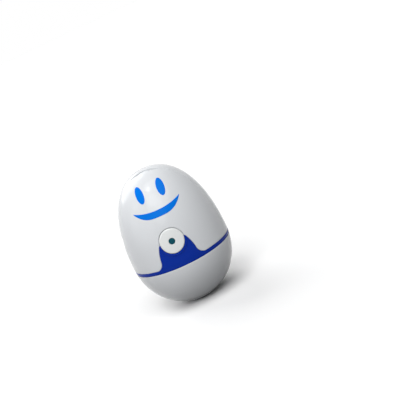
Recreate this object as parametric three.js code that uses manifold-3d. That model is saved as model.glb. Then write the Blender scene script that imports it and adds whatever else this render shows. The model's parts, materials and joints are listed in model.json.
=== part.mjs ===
// A toothbrush steriliser in the form of a smiling egg.
// Millimetres, +Z up. The face looks along -Y and the origin is the middle of the foot, on the table.
import * as THREE from "three";
import { mergeVertices } from "three/addons/utils/BufferGeometryUtils.js";
import Module from "manifold-3d";

const wasm = await Module();
wasm.setup();

// Egg: a turned body whose halves are rounded a little fuller than an ellipse
const eggRadius = 38;
const waistHeight = 40.5;
const crownRise = 65.1;
const crownPower = 2.24;
const bowlPower = 2.07;

// Shells and clearances
const shellWall = 2.2;
const linerWall = 1.2;
const stillGap = 0.3;
const overrun = 10;

// Levels and parting planes
const bandDrop = 4.6;
const bandHeight = 2.25;
const seamForward = 8.5;
const deckThickness = 2.1;

// Face, seen from the front
const eyeSpacing = 16.2;
const eyeRise = 8.775;
const eyeHalfWidth = 2.85;
const eyeHalfHeight = 5.6;
const smileHalfWidth = 17.5;
const smileTipDrop = 1.425;
const smileLowerDrop = 7.3;
const smileUpperDrop = 2.85;
const smileLowerPower = 2.5;
const smileUpperPower = 2;
const printDepth = 0.8;
const printFillShare = 0.9;

// Collar, seen from the front: the flank runs from the button down to a flared foot on the band
const collarTopMargin = 0.7;
const collarTopDrop = 0.15;
const collarShoulderMargin = 3.8;
const collarShoulderDrop = 5.75;
const collarFlankMargin = 4.5;
const collarFlankRise = 5.05;
const collarFlareMargin = 5.8;
const collarFlareRise = 0.35;
const collarFootMargin = 10.4;
const collarRimWidth = 1.25;
const collarRimRise = 0.45;

// Push button
const buttonRadius = 9.1;
const buttonRise = 17.6;
const buttonProud = 0.4;
const buttonTravel = 1.8;
const buttonBoreGap = 0.35;
const buttonGroove = 0.6;
const buttonSkirtWall = 1.6;
const buttonFaceWall = 2.14;
const flangeWidth = 1.3;
const flangeThickness = 1.2;
const windowRadius = 2.2;
const windowSeatWall = 1;
const windowSeatLength = 3.2;
const windowReach = 1;

// Button housing, seen as a cup that opens to the front
const housingBoreGap = 0.6;
const housingWall = 1.6;
const housingRoom = 0.52;
const housingDepth = 6.9;
const housingFloorThickness = 1.5;
const retainerThickness = 1;
const retainerGap = 0.4;
const pedestalHalfWidth = 8;
const switchSize = 4.2;
const switchStubLength = 0.8;
const switchStubRadius = 0.9;
const ledRadius = 1.5;
const ledRoom = 0.9;
const ledHoleRadius = 1.9;
const switchBoardRoom = 0.4;
const boardThickness = 1.6;
const buttonSpringRadius = 5.2;
const buttonSpringWire = 0.35;
const buttonSpringTurns = 5;

// Hinge: barrel lugs in a trough under the top of the seam
const hingeDepth = 2.175;
const barrelRadius = 1.4;
const pinRadius = 0.7;
const pinBoreRadius = 0.95;
const doorKnuckleHalf = 3.4;
const knuckleEndGap = 0.4;
const lugLength = 2.8;
const lugHalfDepth = 1;
const hingeRunGap = 0.4;
const troughHalfWidth = 10;
const troughWall = 1.2;
const pinShort = 0.3;

// Neck slot for the brush, in the left edge of the rear shell
const slotRadius = 5;
const slotRise = 24.2;
const slotCentreForward = 3.8;
const grommetWall = 0.8;

// Door catch: a magnet at each lower corner over a steel plate
const magnetSide = 21;
const magnetInset = 6.11;
const magnetRadius = 3;
const magnetThickness = 2;
const catchThickness = 1;
const catchGap = 0.5;
const magnetBlockHalf = 3.8;
const magnetBlockHeight = 4.6;
const doorReflectorHalfWidth = 20;
const doorReflectorForward = 16;
const doorReflectorBottomRoom = 0.65;
const doorReflectorTopRoom = 5.4;
const reflectorWall = 0.8;

// Lamp on the middle of the chamber's back
const lampBack = 13;
const lampRadius = 3.2;
const lampTopRoom = 2.9;
const capRadius = 3.9;
const capLength = 6;
const holderRadius = 7;
const holderHeight = 8.7;
const holderSeat = 2;
const holderTopHeight = 4;
const holderTopSeat = 0.7;
const guardWall = 1.2;
const guardRise = 3.7;
const guardFlangeHalfWidth = 13;
const windowPitch = 6.4;
const windowOpening = 4.4;
const windowMargin = 2;
const windowHalfWidth = 6.4;
const guardSpine = 0.9;
const guardScrewSide = 11;

// Brush rest on the chamber floor
const restInner = 14;
const restThickness = 3;
const restHalfWidth = 7.5;
const restNotchRadius = 4.4;
const restNotchBack = 4;

// Battery bay in the bowl
const cellRadius = 7.25;
const cellDeckRoom = 3.65;
const cellSpacing = 0.7;
const cellNubRadius = 2.75;
const cellNubLength = 1.5;
const contactSideRoom = 11;
const contactThickness = 0.5;
const contactHalfHeight = 4.2;
const trayBed = 6.25;
const trayTopDrop = 4.5;
const traySideWall = 0.65;
const trayEndWall = 1.5;
const trayEndRise = 6;
const trayEndHalfDepth = 13;
const contactSpringRadius = 3;
const contactSpringWire = 0.3;
const contactSpringLength = 2.6;
const contactSpringTurns = 2;

// Battery hatch at the back of the bowl
const hatchSideRoom = 0.6;
const hatchRoomBelow = 0.55;
const hatchRoomAbove = 0.75;
const hatchCorner = 2.5;
const hatchTrayOverlap = 0.5;
const hatchEarRadius = 4.5;
const hatchEarDrop = 2.8;
const hatchPadRadius = 3.6;
const hatchPadDepth = 5.13;
const hatchSeatDepth = 1.8;
const hatchBossRoom = 1;
const hatchScrewRoom = 1.8;
const hatchBossRadius = 3.4;
const hatchRibHalfWidth = 1.5;
const hatchRibBottom = 5;

// Foot, ballast and housing screws
const footRadius = 9.6;
const footEdge = 0.6;
const footThickness = 1.6;
const floorRadius = 13;
const floorTop = 3.3;
const ballastRadius = 24;
const bossInset = 6.2;
const bossForward = 19;
const bossRadius = 3;
const bossLength = 15.9;
const screwRecessRadius = 2.7;
const screwRecessDepth = 1.6;
const screwShankRadius = 1;
const screwHoleRadius = 1.3;
const screwHeadRadius = 2.2;
const screwHeadHeight = 1.3;
const screwLength = 9;

// Main board, upright in front of the cells
const boardPostGap = 0.4;
const boardSideRoom = 6.5;
const boardTrayRise = 1.5;
const boardScrewInset = 3;
const boardScrewRise = 1.5;
const boardScrewLength = 5;
const smallHeadRadius = 1.7;
const smallHeadHeight = 1.1;
const smallShankRadius = 0.85;
const boardPostHalf = 2;
const boardPostReach = 1.1;
const transformerSideRoom = 2;
const transformerFrontRoom = 0.64;
const transformerHeight = 10;
const transformerScrewRoom = 4.3;
const coreBand = 3;
const capacitorRadius = 3.5;
const capacitorDrop = 9.9;
const chipWidth = 8;
const chipDepth = 1.5;
const chipHeight = 5;
const chipScrewRoom = 2;
const chipRoomAbove = 2.5;
const reedRadius = 1;
const reedLength = 11;
const reedSide = 8;
const reedDrop = 2.9;

// Facets
const eggSides = 32;
const crownRings = 10;
const bowlRings = 7;
const roundSides = 18;
const smallSides = 8;
const coilSides = 4;
const coilStepsPerTurn = 7;
const curvePoints = 8;
const weldDistance = 1e-4;

// Distance of the skin from the axis at a height
function skinRadius(height) {
  const above = height > waistHeight;
  const power = above ? crownPower : bowlPower;
  const share = Math.abs(height - waistHeight) / (above ? crownRise : waistHeight);
  return eggRadius * Math.pow(1 - Math.pow(share, power), 1 / power);
}

// Depth of the shell's inside in front of a point at a distance to the side
function insideDepth(side, height) {
  return Math.sqrt((skinRadius(height) - shellWall) ** 2 - side ** 2);
}

// Height of the crown's skin at a distance from the axis
function crownHeight(distance) {
  const share = Math.pow(distance / eggRadius, crownPower);
  return waistHeight + crownRise * Math.pow(1 - share, 1 / crownPower);
}

// Levels that follow from the sizes above
const far = eggRadius + overrun;
const eggTop = waistHeight + crownRise;
const bandBottom = waistHeight - bandDrop;
const bandTop = bandBottom + bandHeight;
const shellBottom = bandTop + stillGap;
const deckBottom = bandTop - stillGap / 2 - deckThickness;
const deckTop = deckBottom + deckThickness;
const deckRadius = eggRadius - shellWall - 2 * stillGap;
const bandBore = deckRadius + stillGap;
const chamberFloor = deckTop + stillGap;
const linerInset = shellWall + stillGap;
const cavityInset = linerInset + linerWall;

// Button and its housing, from the skin in front of them
const buttonHeight = bandTop + buttonRise;
const flangeRadius = buttonRadius + flangeWidth;
const housingBore = flangeRadius + housingBoreGap;
const housingOuter = housingBore + housingWall;
const housingCorner = housingOuter * Math.SQRT1_2;
const housingFront = Math.min(insideDepth(housingOuter, buttonHeight),
  insideDepth(housingCorner, buttonHeight + housingCorner)) - housingRoom;
const flangeFront = housingFront - retainerThickness - stillGap;
const flangeBack = flangeFront - flangeThickness;
const retainerBore = buttonRadius + retainerGap;
const housingFloorFront = flangeFront - housingDepth;
const housingFloorBack = housingFloorFront - housingFloorThickness;
const buttonFaceDepth = skinRadius(buttonHeight) - buttonFaceWall;
const windowSeatDepth = buttonFaceDepth - windowSeatLength;
const windowBack = windowSeatDepth - windowReach;
const switchBoardFront = housingFloorBack - stillGap;
const switchBoardRadius = housingBore - switchBoardRoom;
const switchTip = flangeBack - buttonTravel - stillGap - switchBoardFront - stillGap;
const switchDepth = switchTip - switchStubLength;
const switchLow = (flangeRadius + buttonRadius - buttonSkirtWall) / 2;
const ledLength = windowBack - buttonTravel - ledRoom - switchBoardFront - stillGap;

// Hinge, face figure and collar
const hingeHeight = crownHeight(seamForward) - hingeDepth;
const lugStart = doorKnuckleHalf + knuckleEndGap;
const lugEnd = lugStart + lugLength;
const faceMiddle = (buttonHeight + buttonRadius + hingeHeight) / 2;
const eyeHeight = faceMiddle + eyeRise;
const smileTipHeight = faceMiddle - smileTipDrop;
const collarTopHalfWidth = buttonRadius + collarTopMargin;
const collarTopHeight = buttonHeight - collarTopDrop;
const collarShoulderHalfWidth = buttonRadius + collarShoulderMargin;
const collarShoulderHeight = buttonHeight - collarShoulderDrop;
const collarFlankHalfWidth = buttonRadius + collarFlankMargin;
const collarFlankHeight = bandTop + collarFlankRise;
const collarFlareHalfWidth = buttonRadius + collarFlareMargin;
const collarFlareHeight = bandTop + collarFlareRise;
const collarFootHalfWidth = buttonRadius + collarFootMargin;
const doorReflectorBottom = buttonHeight + housingOuter + doorReflectorBottomRoom;
const doorReflectorTop = hingeHeight - doorReflectorTopRoom;
const magnetForward = Math.sqrt((eggRadius - magnetInset) ** 2 - magnetSide ** 2);

// Chamber, from its floor up to the crown over the lamp
const slotHeight = chamberFloor + slotRise;
const reflectorBore = holderRadius + stillGap;
const guardOuter = reflectorBore + guardWall;
const guardBottom = chamberFloor + guardRise;
const guardTop = crownHeight(lampBack + reflectorBore + reflectorWall + cavityInset) - lampTopRoom;
const guardScrewHeight = (guardBottom + guardTop) / 2;
const capBottom = chamberFloor + holderHeight - holderSeat;
const lampBottom = capBottom + capLength / 2 + stillGap;
const holderTopBottom = guardTop - holderTopHeight;
const capTop = holderTopBottom + holderTopSeat;
const lampTop = capTop + capBottom - lampBottom;

// Battery bay hung from the deck, with the ballast in what is left below
const cellHeight = deckBottom - cellDeckRoom - cellRadius;
const trayBottom = cellHeight - cellRadius - trayBed;
const ballastHeight = trayBottom - stillGap - floorTop - stillGap;
const cellPitch = 2 * cellRadius + cellSpacing;
const contactInner = eggRadius - contactSideRoom;
const cellLength = 2 * contactInner - 3 * stillGap - cellNubLength - contactSpringLength;
const trayTop = cellHeight - trayTopDrop;
const trayHalfDepth = cellPitch / 2 + cellRadius + traySideWall;
const trayEndTop = cellHeight + trayEndRise;
const hatchHalfWidth = contactInner + hatchSideRoom;
const hatchBottom = cellHeight - cellRadius - hatchRoomBelow;
const hatchTop = cellHeight + cellRadius + hatchRoomAbove;
const hatchFrom = trayHalfDepth - hatchTrayOverlap;
const hatchEarHeight = hatchBottom - hatchEarDrop;
const hatchPadFront = skinRadius(hatchEarHeight) - hatchPadDepth;
const hatchSeat = hatchPadFront + hatchSeatDepth;
const hatchBossFront = trayHalfDepth + hatchBossRoom;
const hatchScrewLength = hatchSeat - trayHalfDepth - hatchScrewRoom;

// Bosses beside the bay and the board in front of it
const bossSide = Math.sqrt((eggRadius - bossInset) ** 2 - bossForward ** 2);
const bossBottom = deckBottom - bossLength;
const boardBack = trayHalfDepth + boardPostReach + boardPostGap;
const boardFront = boardBack + boardThickness;
const boardHalfWidth = bossSide - bossRadius - boardSideRoom;
const boardBottom = trayBottom + boardTrayRise;
const boardScrewSide = boardHalfWidth - boardScrewInset;
const boardScrewHeight = boardBottom + boardScrewRise;
const transformerLeft = boardHalfWidth - transformerSideRoom;
const transformerWidth = transformerLeft - transformerSideRoom;
const transformerBottom = boardScrewHeight + smallHeadRadius + transformerScrewRoom;
const transformerFront = insideDepth(transformerLeft, transformerBottom) - transformerFrontRoom;
const transformerDepth = transformerFront - boardFront - stillGap;
const capacitorSide = boardHalfWidth / 2;
const capacitorHeight = deckBottom - capacitorDrop;
const chipSide = boardScrewSide - chipScrewRoom - chipWidth / 2;
const chipLevel = capacitorHeight - capacitorRadius - chipRoomAbove - chipHeight / 2;
const reedHeight = deckBottom - reedDrop;

// Turns a closed three.js geometry into a solid that can be cut and joined
function solid(geometry) {
  geometry.deleteAttribute("normal");
  geometry.deleteAttribute("uv");
  const merged = mergeVertices(geometry, weldDistance);
  const corners = [];
  const index = merged.index.array;
  for (let i = 0; i < index.length; i += 3) {
    const [a, b, c] = [index[i], index[i + 1], index[i + 2]];
    if (a !== b && b !== c && c !== a) corners.push(a, b, c);
  }
  const vertProperties = Float32Array.from(merged.attributes.position.array);
  const mesh = new wasm.Mesh({ numProp: 3, vertProperties, triVerts: Uint32Array.from(corners) });
  return new wasm.Manifold(mesh);
}

// Turns a solid back into a three.js geometry
function geometryOf(shape) {
  const mesh = shape.getMesh();
  const geometry = new THREE.BufferGeometry();
  geometry.setAttribute("position", new THREE.BufferAttribute(mesh.vertProperties, 3));
  geometry.setIndex(new THREE.BufferAttribute(mesh.triVerts, 1));
  geometry.computeVertexNormals();
  return geometry;
}

function joined(first, ...others) {
  return others.reduce((whole, other) => whole.add(other), first);
}

function cut(first, ...others) {
  return others.reduce((whole, other) => whole.subtract(other), first);
}

// A point of the egg's outline, moved inward by inset: turn is 0 at the bottom, 1 at the waist, 2 at the top
function eggPoint(turn, inset) {
  const side = turn > 1 ? 1 : -1;
  const rise = side > 0 ? crownRise : waistHeight;
  const power = side > 0 ? crownPower : bowlPower;
  const angle = Math.abs(turn - 1) * Math.PI / 2;
  const across = Math.pow(Math.max(Math.cos(angle), 0), 2 / power);
  const along = Math.pow(Math.sin(angle), 2 / power);
  const slopeOut = Math.pow(across, power - 1) / eggRadius;
  const slopeUp = Math.pow(along, power - 1) / rise;
  const slope = Math.hypot(slopeOut, slopeUp);
  const radius = eggRadius * across - inset * slopeOut / slope;
  const height = waistHeight + side * (rise * along - inset * slopeUp / slope);
  return new THREE.Vector2(turn <= 0 || turn >= 2 ? 0 : radius, height);
}

// The whole egg, moved inward by inset
function egg(inset) {
  const points = [];
  for (let i = 0; i < bowlRings; i += 1) points.push(eggPoint(i / bowlRings, inset));
  for (let i = 0; i <= crownRings; i += 1) points.push(eggPoint(1 + i / crownRings, inset));
  return solid(new THREE.LatheGeometry(points, eggSides).rotateX(Math.PI / 2));
}

function eggShell(outer, inner) {
  return egg(outer).subtract(egg(inner));
}

// A box from its lowest and highest corners
function block(x0, x1, y0, y1, z0, z1) {
  const geometry = new THREE.BoxGeometry(x1 - x0, y1 - y0, z1 - z0);
  return solid(geometry.translate((x0 + x1) / 2, (y0 + y1) / 2, (z0 + z1) / 2));
}

// Cylinders along each axis, at a place across it
function rodX(radius, x0, x1, y, z, sides = roundSides) {
  const geometry = new THREE.CylinderGeometry(radius, radius, x1 - x0, sides).rotateZ(-Math.PI / 2);
  return solid(geometry.translate((x0 + x1) / 2, y, z));
}

function rodY(radius, y0, y1, x, z, sides = roundSides) {
  const geometry = new THREE.CylinderGeometry(radius, radius, y1 - y0, sides);
  return solid(geometry.translate(x, (y0 + y1) / 2, z));
}

function rodZ(radius, z0, z1, x, y, sides = roundSides) {
  const geometry = new THREE.CylinderGeometry(radius, radius, z1 - z0, sides).rotateX(Math.PI / 2);
  return solid(geometry.translate(x, y, (z0 + z1) / 2));
}

// A shape drawn in x and z, extruded from y0 to y1
function prismY(shape, y0, y1) {
  const options = { depth: y1 - y0, bevelEnabled: false, curveSegments: curvePoints };
  return solid(new THREE.ExtrudeGeometry(shape, options).rotateX(Math.PI / 2).translate(0, y1, 0));
}

// A shape drawn in y and z, extruded from x0 to x1
function prismX(shape, x0, x1) {
  const options = { depth: x1 - x0, bevelEnabled: false, curveSegments: curvePoints };
  const turn = new THREE.Matrix4().makeBasis(
    new THREE.Vector3(0, 1, 0), new THREE.Vector3(0, 0, 1), new THREE.Vector3(1, 0, 0));
  return solid(new THREE.ExtrudeGeometry(shape, options).applyMatrix4(turn).translate(x0, 0, 0));
}

// A shape drawn in x and y, extruded from z0 to z1
function prismZ(shape, z0, z1) {
  const options = { depth: z1 - z0, bevelEnabled: false, curveSegments: curvePoints };
  return solid(new THREE.ExtrudeGeometry(shape, options).translate(0, 0, z0));
}

class Coil extends THREE.Curve {
  constructor(radius, length, turns) {
    super();
    Object.assign(this, { radius, length, turns });
  }

  getPoint(share, target = new THREE.Vector3()) {
    const angle = 2 * Math.PI * this.turns * share;
    return target.set(this.radius * Math.cos(angle), this.radius * Math.sin(angle), this.length * share);
  }
}

// A coil spring from z = 0 up to its length, wire included
function spring(radius, wire, length, turns) {
  const section = new THREE.Shape().absarc(0, 0, wire, 0, 2 * Math.PI);
  const extrudePath = new Coil(radius, length - 2 * wire, turns);
  const steps = turns * coilStepsPerTurn;
  const options = { steps, extrudePath, curveSegments: coilSides };
  return solid(new THREE.ExtrudeGeometry(section, options).translate(0, 0, wire));
}

// A screw along +z whose head lies below z = 0
function screw(headRadius, headHeight, shankRadius, length) {
  const head = rodZ(headRadius, -headHeight, 0, 0, 0, smallSides);
  const shank = rodZ(shankRadius, -headHeight / 2, length, 0, 0, smallSides);
  const driveShare = 0.3;
  const slot = block(-headRadius, headRadius, -shankRadius * driveShare, shankRadius * driveShare,
    -headHeight, -headHeight / 2);
  return cut(joined(head, shank), slot);
}

// Collar outline seen from the front, widened by margin
function collarOutline(margin) {
  const low = bandBottom + bandHeight / 2;
  const shape = new THREE.Shape();
  shape.moveTo(collarFootHalfWidth + margin, low);
  shape.lineTo(collarFootHalfWidth + margin, bandTop);
  shape.quadraticCurveTo(collarFlareHalfWidth + margin, collarFlareHeight + margin,
    collarFlankHalfWidth + margin, collarFlankHeight);
  shape.quadraticCurveTo(collarShoulderHalfWidth + margin, collarShoulderHeight,
    collarTopHalfWidth + margin, collarTopHeight);
  shape.lineTo(-collarTopHalfWidth - margin, collarTopHeight);
  shape.quadraticCurveTo(-collarShoulderHalfWidth - margin, collarShoulderHeight,
    -collarFlankHalfWidth - margin, collarFlankHeight);
  shape.quadraticCurveTo(-collarFlareHalfWidth - margin, collarFlareHeight + margin,
    -collarFootHalfWidth - margin, bandTop);
  shape.lineTo(-collarFootHalfWidth - margin, low);
  shape.closePath();
  return shape;
}

function eyeOutline(side, shrink) {
  return new THREE.Shape().absellipse(side * eyeSpacing / 2, eyeHeight, eyeHalfWidth - shrink,
    eyeHalfHeight - shrink, 0, 2 * Math.PI);
}

// Height of the smile's lower or upper edge at a distance from its middle
function smileEdge(x, drop, power) {
  return smileTipHeight - drop * (1 - Math.pow(Math.abs(x) / smileHalfWidth, power));
}

// Crescent between two curves that meet at the smile's tips: fillShare is 1 for the whole of it
function smileOutline(fillShare) {
  const steps = 2 * curvePoints;
  const half = smileHalfWidth * (3 + fillShare) / 4;
  const edge = (i, upward) => {
    const x = half * (2 * i / steps - 1);
    const low = smileEdge(x, smileLowerDrop, smileLowerPower);
    const high = smileEdge(x, smileUpperDrop, smileUpperPower);
    return new THREE.Vector2(x, (low + high + upward * fillShare * (high - low)) / 2);
  };
  const points = [edge(0, 0)];
  for (let i = 1; i < steps; i += 1) points.push(edge(i, -1));
  points.push(edge(steps, 0));
  for (let i = steps - 1; i > 0; i -= 1) points.push(edge(i, 1));
  return new THREE.Shape(points);
}

// Slot open to the front, with a round back: drawn in y and z
function neckOutline(radius) {
  const front = -seamForward - overrun;
  const shape = new THREE.Shape();
  shape.moveTo(front, slotHeight - radius);
  shape.lineTo(-slotCentreForward, slotHeight - radius);
  shape.absarc(-slotCentreForward, slotHeight, radius, -Math.PI / 2, Math.PI / 2, false);
  shape.lineTo(front, slotHeight + radius);
  shape.closePath();
  return shape;
}

// Groove over the hinge, seen from above: as deep at each x as the door's edge swings back
function grooveOutline() {
  const reach = (x) => crownHeight(Math.hypot(x, seamForward)) - hingeHeight;
  const steps = 2 * curvePoints;
  const halfWidth = troughHalfWidth + troughWall;
  const shape = new THREE.Shape();
  shape.moveTo(-halfWidth, -seamForward - stillGap);
  shape.lineTo(halfWidth, -seamForward - stillGap);
  for (let i = steps; i >= 0; i -= 1) {
    const x = halfWidth * (2 * i / steps - 1);
    shape.lineTo(x, Math.max(reach(x), 0) + hingeRunGap - seamForward);
  }
  shape.closePath();
  return shape;
}

// Hatch outline seen from behind: a rounded panel with a round ear below for its screw
function hatchPrism(shrink, from) {
  const half = hatchHalfWidth - shrink;
  const low = hatchBottom + shrink;
  const high = hatchTop - shrink;
  const shape = new THREE.Shape();
  shape.moveTo(-half + hatchCorner, low);
  shape.lineTo(half - hatchCorner, low);
  shape.absarc(half - hatchCorner, low + hatchCorner, hatchCorner, -Math.PI / 2, 0, false);
  shape.lineTo(half, high - hatchCorner);
  shape.absarc(half - hatchCorner, high - hatchCorner, hatchCorner, 0, Math.PI / 2, false);
  shape.lineTo(-half + hatchCorner, high);
  shape.absarc(-half + hatchCorner, high - hatchCorner, hatchCorner, Math.PI / 2, Math.PI, false);
  shape.lineTo(-half, low + hatchCorner);
  shape.absarc(-half + hatchCorner, low + hatchCorner, hatchCorner, Math.PI, 3 * Math.PI / 2, false);
  const ear = hatchEarRadius - shrink;
  return joined(prismY(shape, from, far), rodY(ear, from, far, 0, hatchEarHeight),
    block(-ear, ear, from, far, hatchEarHeight, hatchBottom + hatchCorner));
}

function lowerBowl() {
  const rim = bandBottom - stillGap;
  const bossBack = hatchPadFront - stillGap;
  const bosses = [-1, 1].map((side) =>
    rodZ(bossRadius, bossBottom, deckBottom - stillGap, side * bossSide, -bossForward));
  const floor = rodZ(floorRadius, 0, floorTop, 0, 0);
  const hatchBoss = rodY(hatchBossRadius, hatchBossFront, bossBack, 0, hatchEarHeight);
  const rib = block(-hatchRibHalfWidth, hatchRibHalfWidth, hatchBossFront, bossBack, hatchRibBottom,
    hatchEarHeight);
  const ribFoot = block(-hatchRibHalfWidth, hatchRibHalfWidth, hatchBossFront, bossBack, hatchRibBottom,
    hatchEarHeight - hatchEarRadius - stillGap);
  const boreBottom = deckTop - screwRecessDepth - screwLength - stillGap;
  const bores = [-1, 1].map((side) =>
    rodZ(screwHoleRadius, boreBottom, waistHeight, side * bossSide, -bossForward, smallSides));
  const footRecess = rodZ(footRadius + stillGap, -overrun, footThickness + stillGap, 0, 0);
  const screwHole = rodY(screwHoleRadius, hatchSeat - hatchScrewLength, far, 0, hatchEarHeight, smallSides);
  const aboveRim = block(-far, far, -far, far, rim, 2 * eggTop);
  const wall = cut(eggShell(0, shellWall), aboveRim, hatchPrism(0, hatchFrom));
  const fixed = joined(floor, ribFoot, ...bosses).intersect(egg(shellWall / 2));
  const clear = joined(hatchBoss, rib).intersect(egg(shellWall + stillGap));
  return cut(joined(wall, fixed, clear), ...bores, footRecess, screwHole);
}

function batteryHatch() {
  const panel = eggShell(0, shellWall).intersect(hatchPrism(stillGap, hatchFrom + stillGap));
  const pad = rodY(hatchPadRadius, hatchPadFront, far, 0, hatchEarHeight).intersect(egg(0));
  const bore = rodY(screwHoleRadius, 0, far, 0, hatchEarHeight, smallSides);
  const seat = rodY(screwRecessRadius, hatchSeat, far, 0, hatchEarHeight);
  return cut(joined(panel, pad), bore, seat);
}

function blueBand() {
  const ring = cut(egg(0).intersect(block(-far, far, -far, far, bandBottom, bandTop)),
    rodZ(bandBore, 0, eggTop, 0, 0, eggSides));
  const outline = prismY(collarOutline(0), -far, -eggRadius / 2);
  const collar = eggShell(0, shellWall).intersect(outline);
  const rimOuter = buttonRadius + buttonBoreGap + collarRimWidth;
  const rim = eggShell(-collarRimRise, shellWall / 2).intersect(outline)
    .intersect(rodY(rimOuter, -far, 0, 0, buttonHeight, eggSides));
  const bore = rodY(buttonRadius + buttonBoreGap, -far, 0, 0, buttonHeight, eggSides);
  return cut(joined(ring, collar, rim), bore);
}

// Trough that closes the hinge groove from inside, with the two lugs that hold the pin
function hingeTrough() {
  const inner = crownHeight(seamForward) - hingeHeight + hingeRunGap;
  const outer = inner + troughWall;
  const quarter = new THREE.Shape();
  quarter.absarc(-seamForward, hingeHeight, outer, -Math.PI / 2, 0, false);
  quarter.lineTo(-seamForward + outer, eggTop);
  quarter.lineTo(-seamForward + inner, eggTop);
  quarter.absarc(-seamForward, hingeHeight, inner, 0, -Math.PI / 2, true);
  quarter.closePath();
  const lugs = [-1, 1].map((side) => {
    const from = Math.min(side * lugStart, side * lugEnd);
    const to = Math.max(side * lugStart, side * lugEnd);
    return joined(rodX(barrelRadius, from, to, -seamForward, hingeHeight),
      block(from, to, -seamForward - lugHalfDepth / 2, -seamForward + lugHalfDepth,
        hingeHeight - (inner + outer) / 2, hingeHeight));
  });
  return joined(prismX(quarter, -troughHalfWidth, troughHalfWidth), ...lugs);
}

function rearShell() {
  const behind = block(-far, far, -seamForward + stillGap / 2, far, shellBottom, 2 * eggTop);
  const groove = prismZ(grooveOutline(), hingeHeight - barrelRadius - hingeRunGap, 2 * eggTop);
  const shell = cut(eggShell(0, shellWall).intersect(behind), groove);
  const trough = hingeTrough().intersect(egg(stillGap));
  const pinBore = rodX(pinBoreRadius, -far, far, -seamForward, hingeHeight, smallSides);
  const slot = prismX(neckOutline(slotRadius), -far, -eggRadius / 2);
  return cut(joined(shell, trough), pinBore, slot);
}

function neckGrommet() {
  const outer = prismX(neckOutline(slotRadius - stillGap), -far, -eggRadius / 2);
  const inner = prismX(neckOutline(slotRadius - stillGap - grommetWall), -far, 0);
  const behind = block(-far, 0, -seamForward + stillGap / 2, far, 0, eggTop);
  return cut(eggShell(stillGap, cavityInset + stillGap).intersect(outer).intersect(behind), inner);
}

function chamberLiner() {
  const behind = block(-far, far, -seamForward + linerWall, far, chamberFloor, 2 * eggTop);
  const hingeRoom = block(-troughHalfWidth - 2 * stillGap, troughHalfWidth + 2 * stillGap, -far,
    crownHeight(seamForward) - hingeHeight + hingeRunGap + troughWall + stillGap - seamForward,
    hingeHeight - 2 * barrelRadius - troughWall - 2 * hingeRunGap, 2 * eggTop);
  const slot = prismX(neckOutline(slotRadius), -far, -eggRadius / 2);
  return cut(eggShell(linerInset, cavityInset).intersect(behind), hingeRoom, slot);
}

function faceDoor() {
  const front = block(-far, far, -far, -seamForward - stillGap / 2, shellBottom, 2 * eggTop);
  const blockLow = chamberFloor + catchThickness + catchGap;
  const magnetBlocks = [-1, 1].map((side) => block(side * magnetSide - magnetBlockHalf,
    side * magnetSide + magnetBlockHalf, -far, -magnetForward + magnetBlockHalf, blockLow,
    blockLow + magnetBlockHeight));
  const skin = joined(eggShell(0, shellWall), joined(...magnetBlocks).intersect(egg(shellWall / 2)));
  const knuckle = joined(
    rodX(barrelRadius, -doorKnuckleHalf, doorKnuckleHalf, -seamForward, hingeHeight),
    block(-doorKnuckleHalf, doorKnuckleHalf, -seamForward - barrelRadius, -seamForward,
      hingeHeight, eggTop).intersect(egg(shellWall / 2)));
  const lugRoom = [-1, 1].map((side) => {
    const from = Math.min(side * (doorKnuckleHalf + stillGap / 2), side * (lugEnd + stillGap));
    const to = Math.max(side * (doorKnuckleHalf + stillGap / 2), side * (lugEnd + stillGap));
    return rodX(barrelRadius + hingeRunGap, from, to, -seamForward, hingeHeight);
  });
  const collarRoom = prismY(collarOutline(stillGap), -far, -eggRadius / 2);
  const buttonRoom = rodY(buttonRadius + buttonGroove, -far, -eggRadius / 2, 0, buttonHeight, eggSides);
  const printRoom = eggShell(-stillGap, printDepth + stillGap);
  const prints = [prismY(eyeOutline(-1, 0), -far, -seamForward), prismY(eyeOutline(1, 0), -far, -seamForward),
    prismY(smileOutline(1), -far, -seamForward)].map((one) => one.intersect(printRoom));
  const pocketTop = blockLow + magnetThickness + stillGap;
  const pockets = [-1, 1].map((side) =>
    rodZ(magnetRadius + stillGap, 0, pocketTop, side * magnetSide, -magnetForward));
  const shell = cut(skin.intersect(front), ...lugRoom, collarRoom, buttonRoom, ...prints, ...pockets);
  const pinBore = rodX(pinBoreRadius, -far, far, -seamForward, hingeHeight, smallSides);
  return cut(joined(shell, knuckle), pinBore);
}

function printPiece(outline) {
  return eggShell(0, printDepth).intersect(prismY(outline, -far, -seamForward));
}

function doorReflector() {
  const panel = block(-doorReflectorHalfWidth, doorReflectorHalfWidth, -far, -doorReflectorForward,
    doorReflectorBottom, doorReflectorTop);
  return eggShell(shellWall + stillGap, shellWall + stillGap + reflectorWall).intersect(panel);
}

function buttonCap() {
  const body = rodY(buttonRadius, -far, -flangeBack, 0, buttonHeight, eggSides).intersect(egg(-buttonProud));
  const flange = rodY(flangeRadius, -flangeFront, -flangeBack, 0, buttonHeight, eggSides);
  const hollow = rodY(buttonRadius - buttonSkirtWall, -buttonFaceDepth, 0, 0, buttonHeight);
  const boreRadius = windowRadius + stillGap;
  const seat = rodY(boreRadius + windowSeatWall, -buttonFaceDepth - stillGap, -windowSeatDepth,
    0, buttonHeight);
  const bore = rodY(boreRadius, -far, 0, 0, buttonHeight);
  return cut(joined(cut(joined(body, flange), hollow), seat), bore);
}

function indicatorWindow() {
  return rodY(windowRadius, -far, -windowBack, 0, buttonHeight).intersect(egg(-buttonProud));
}

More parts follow.
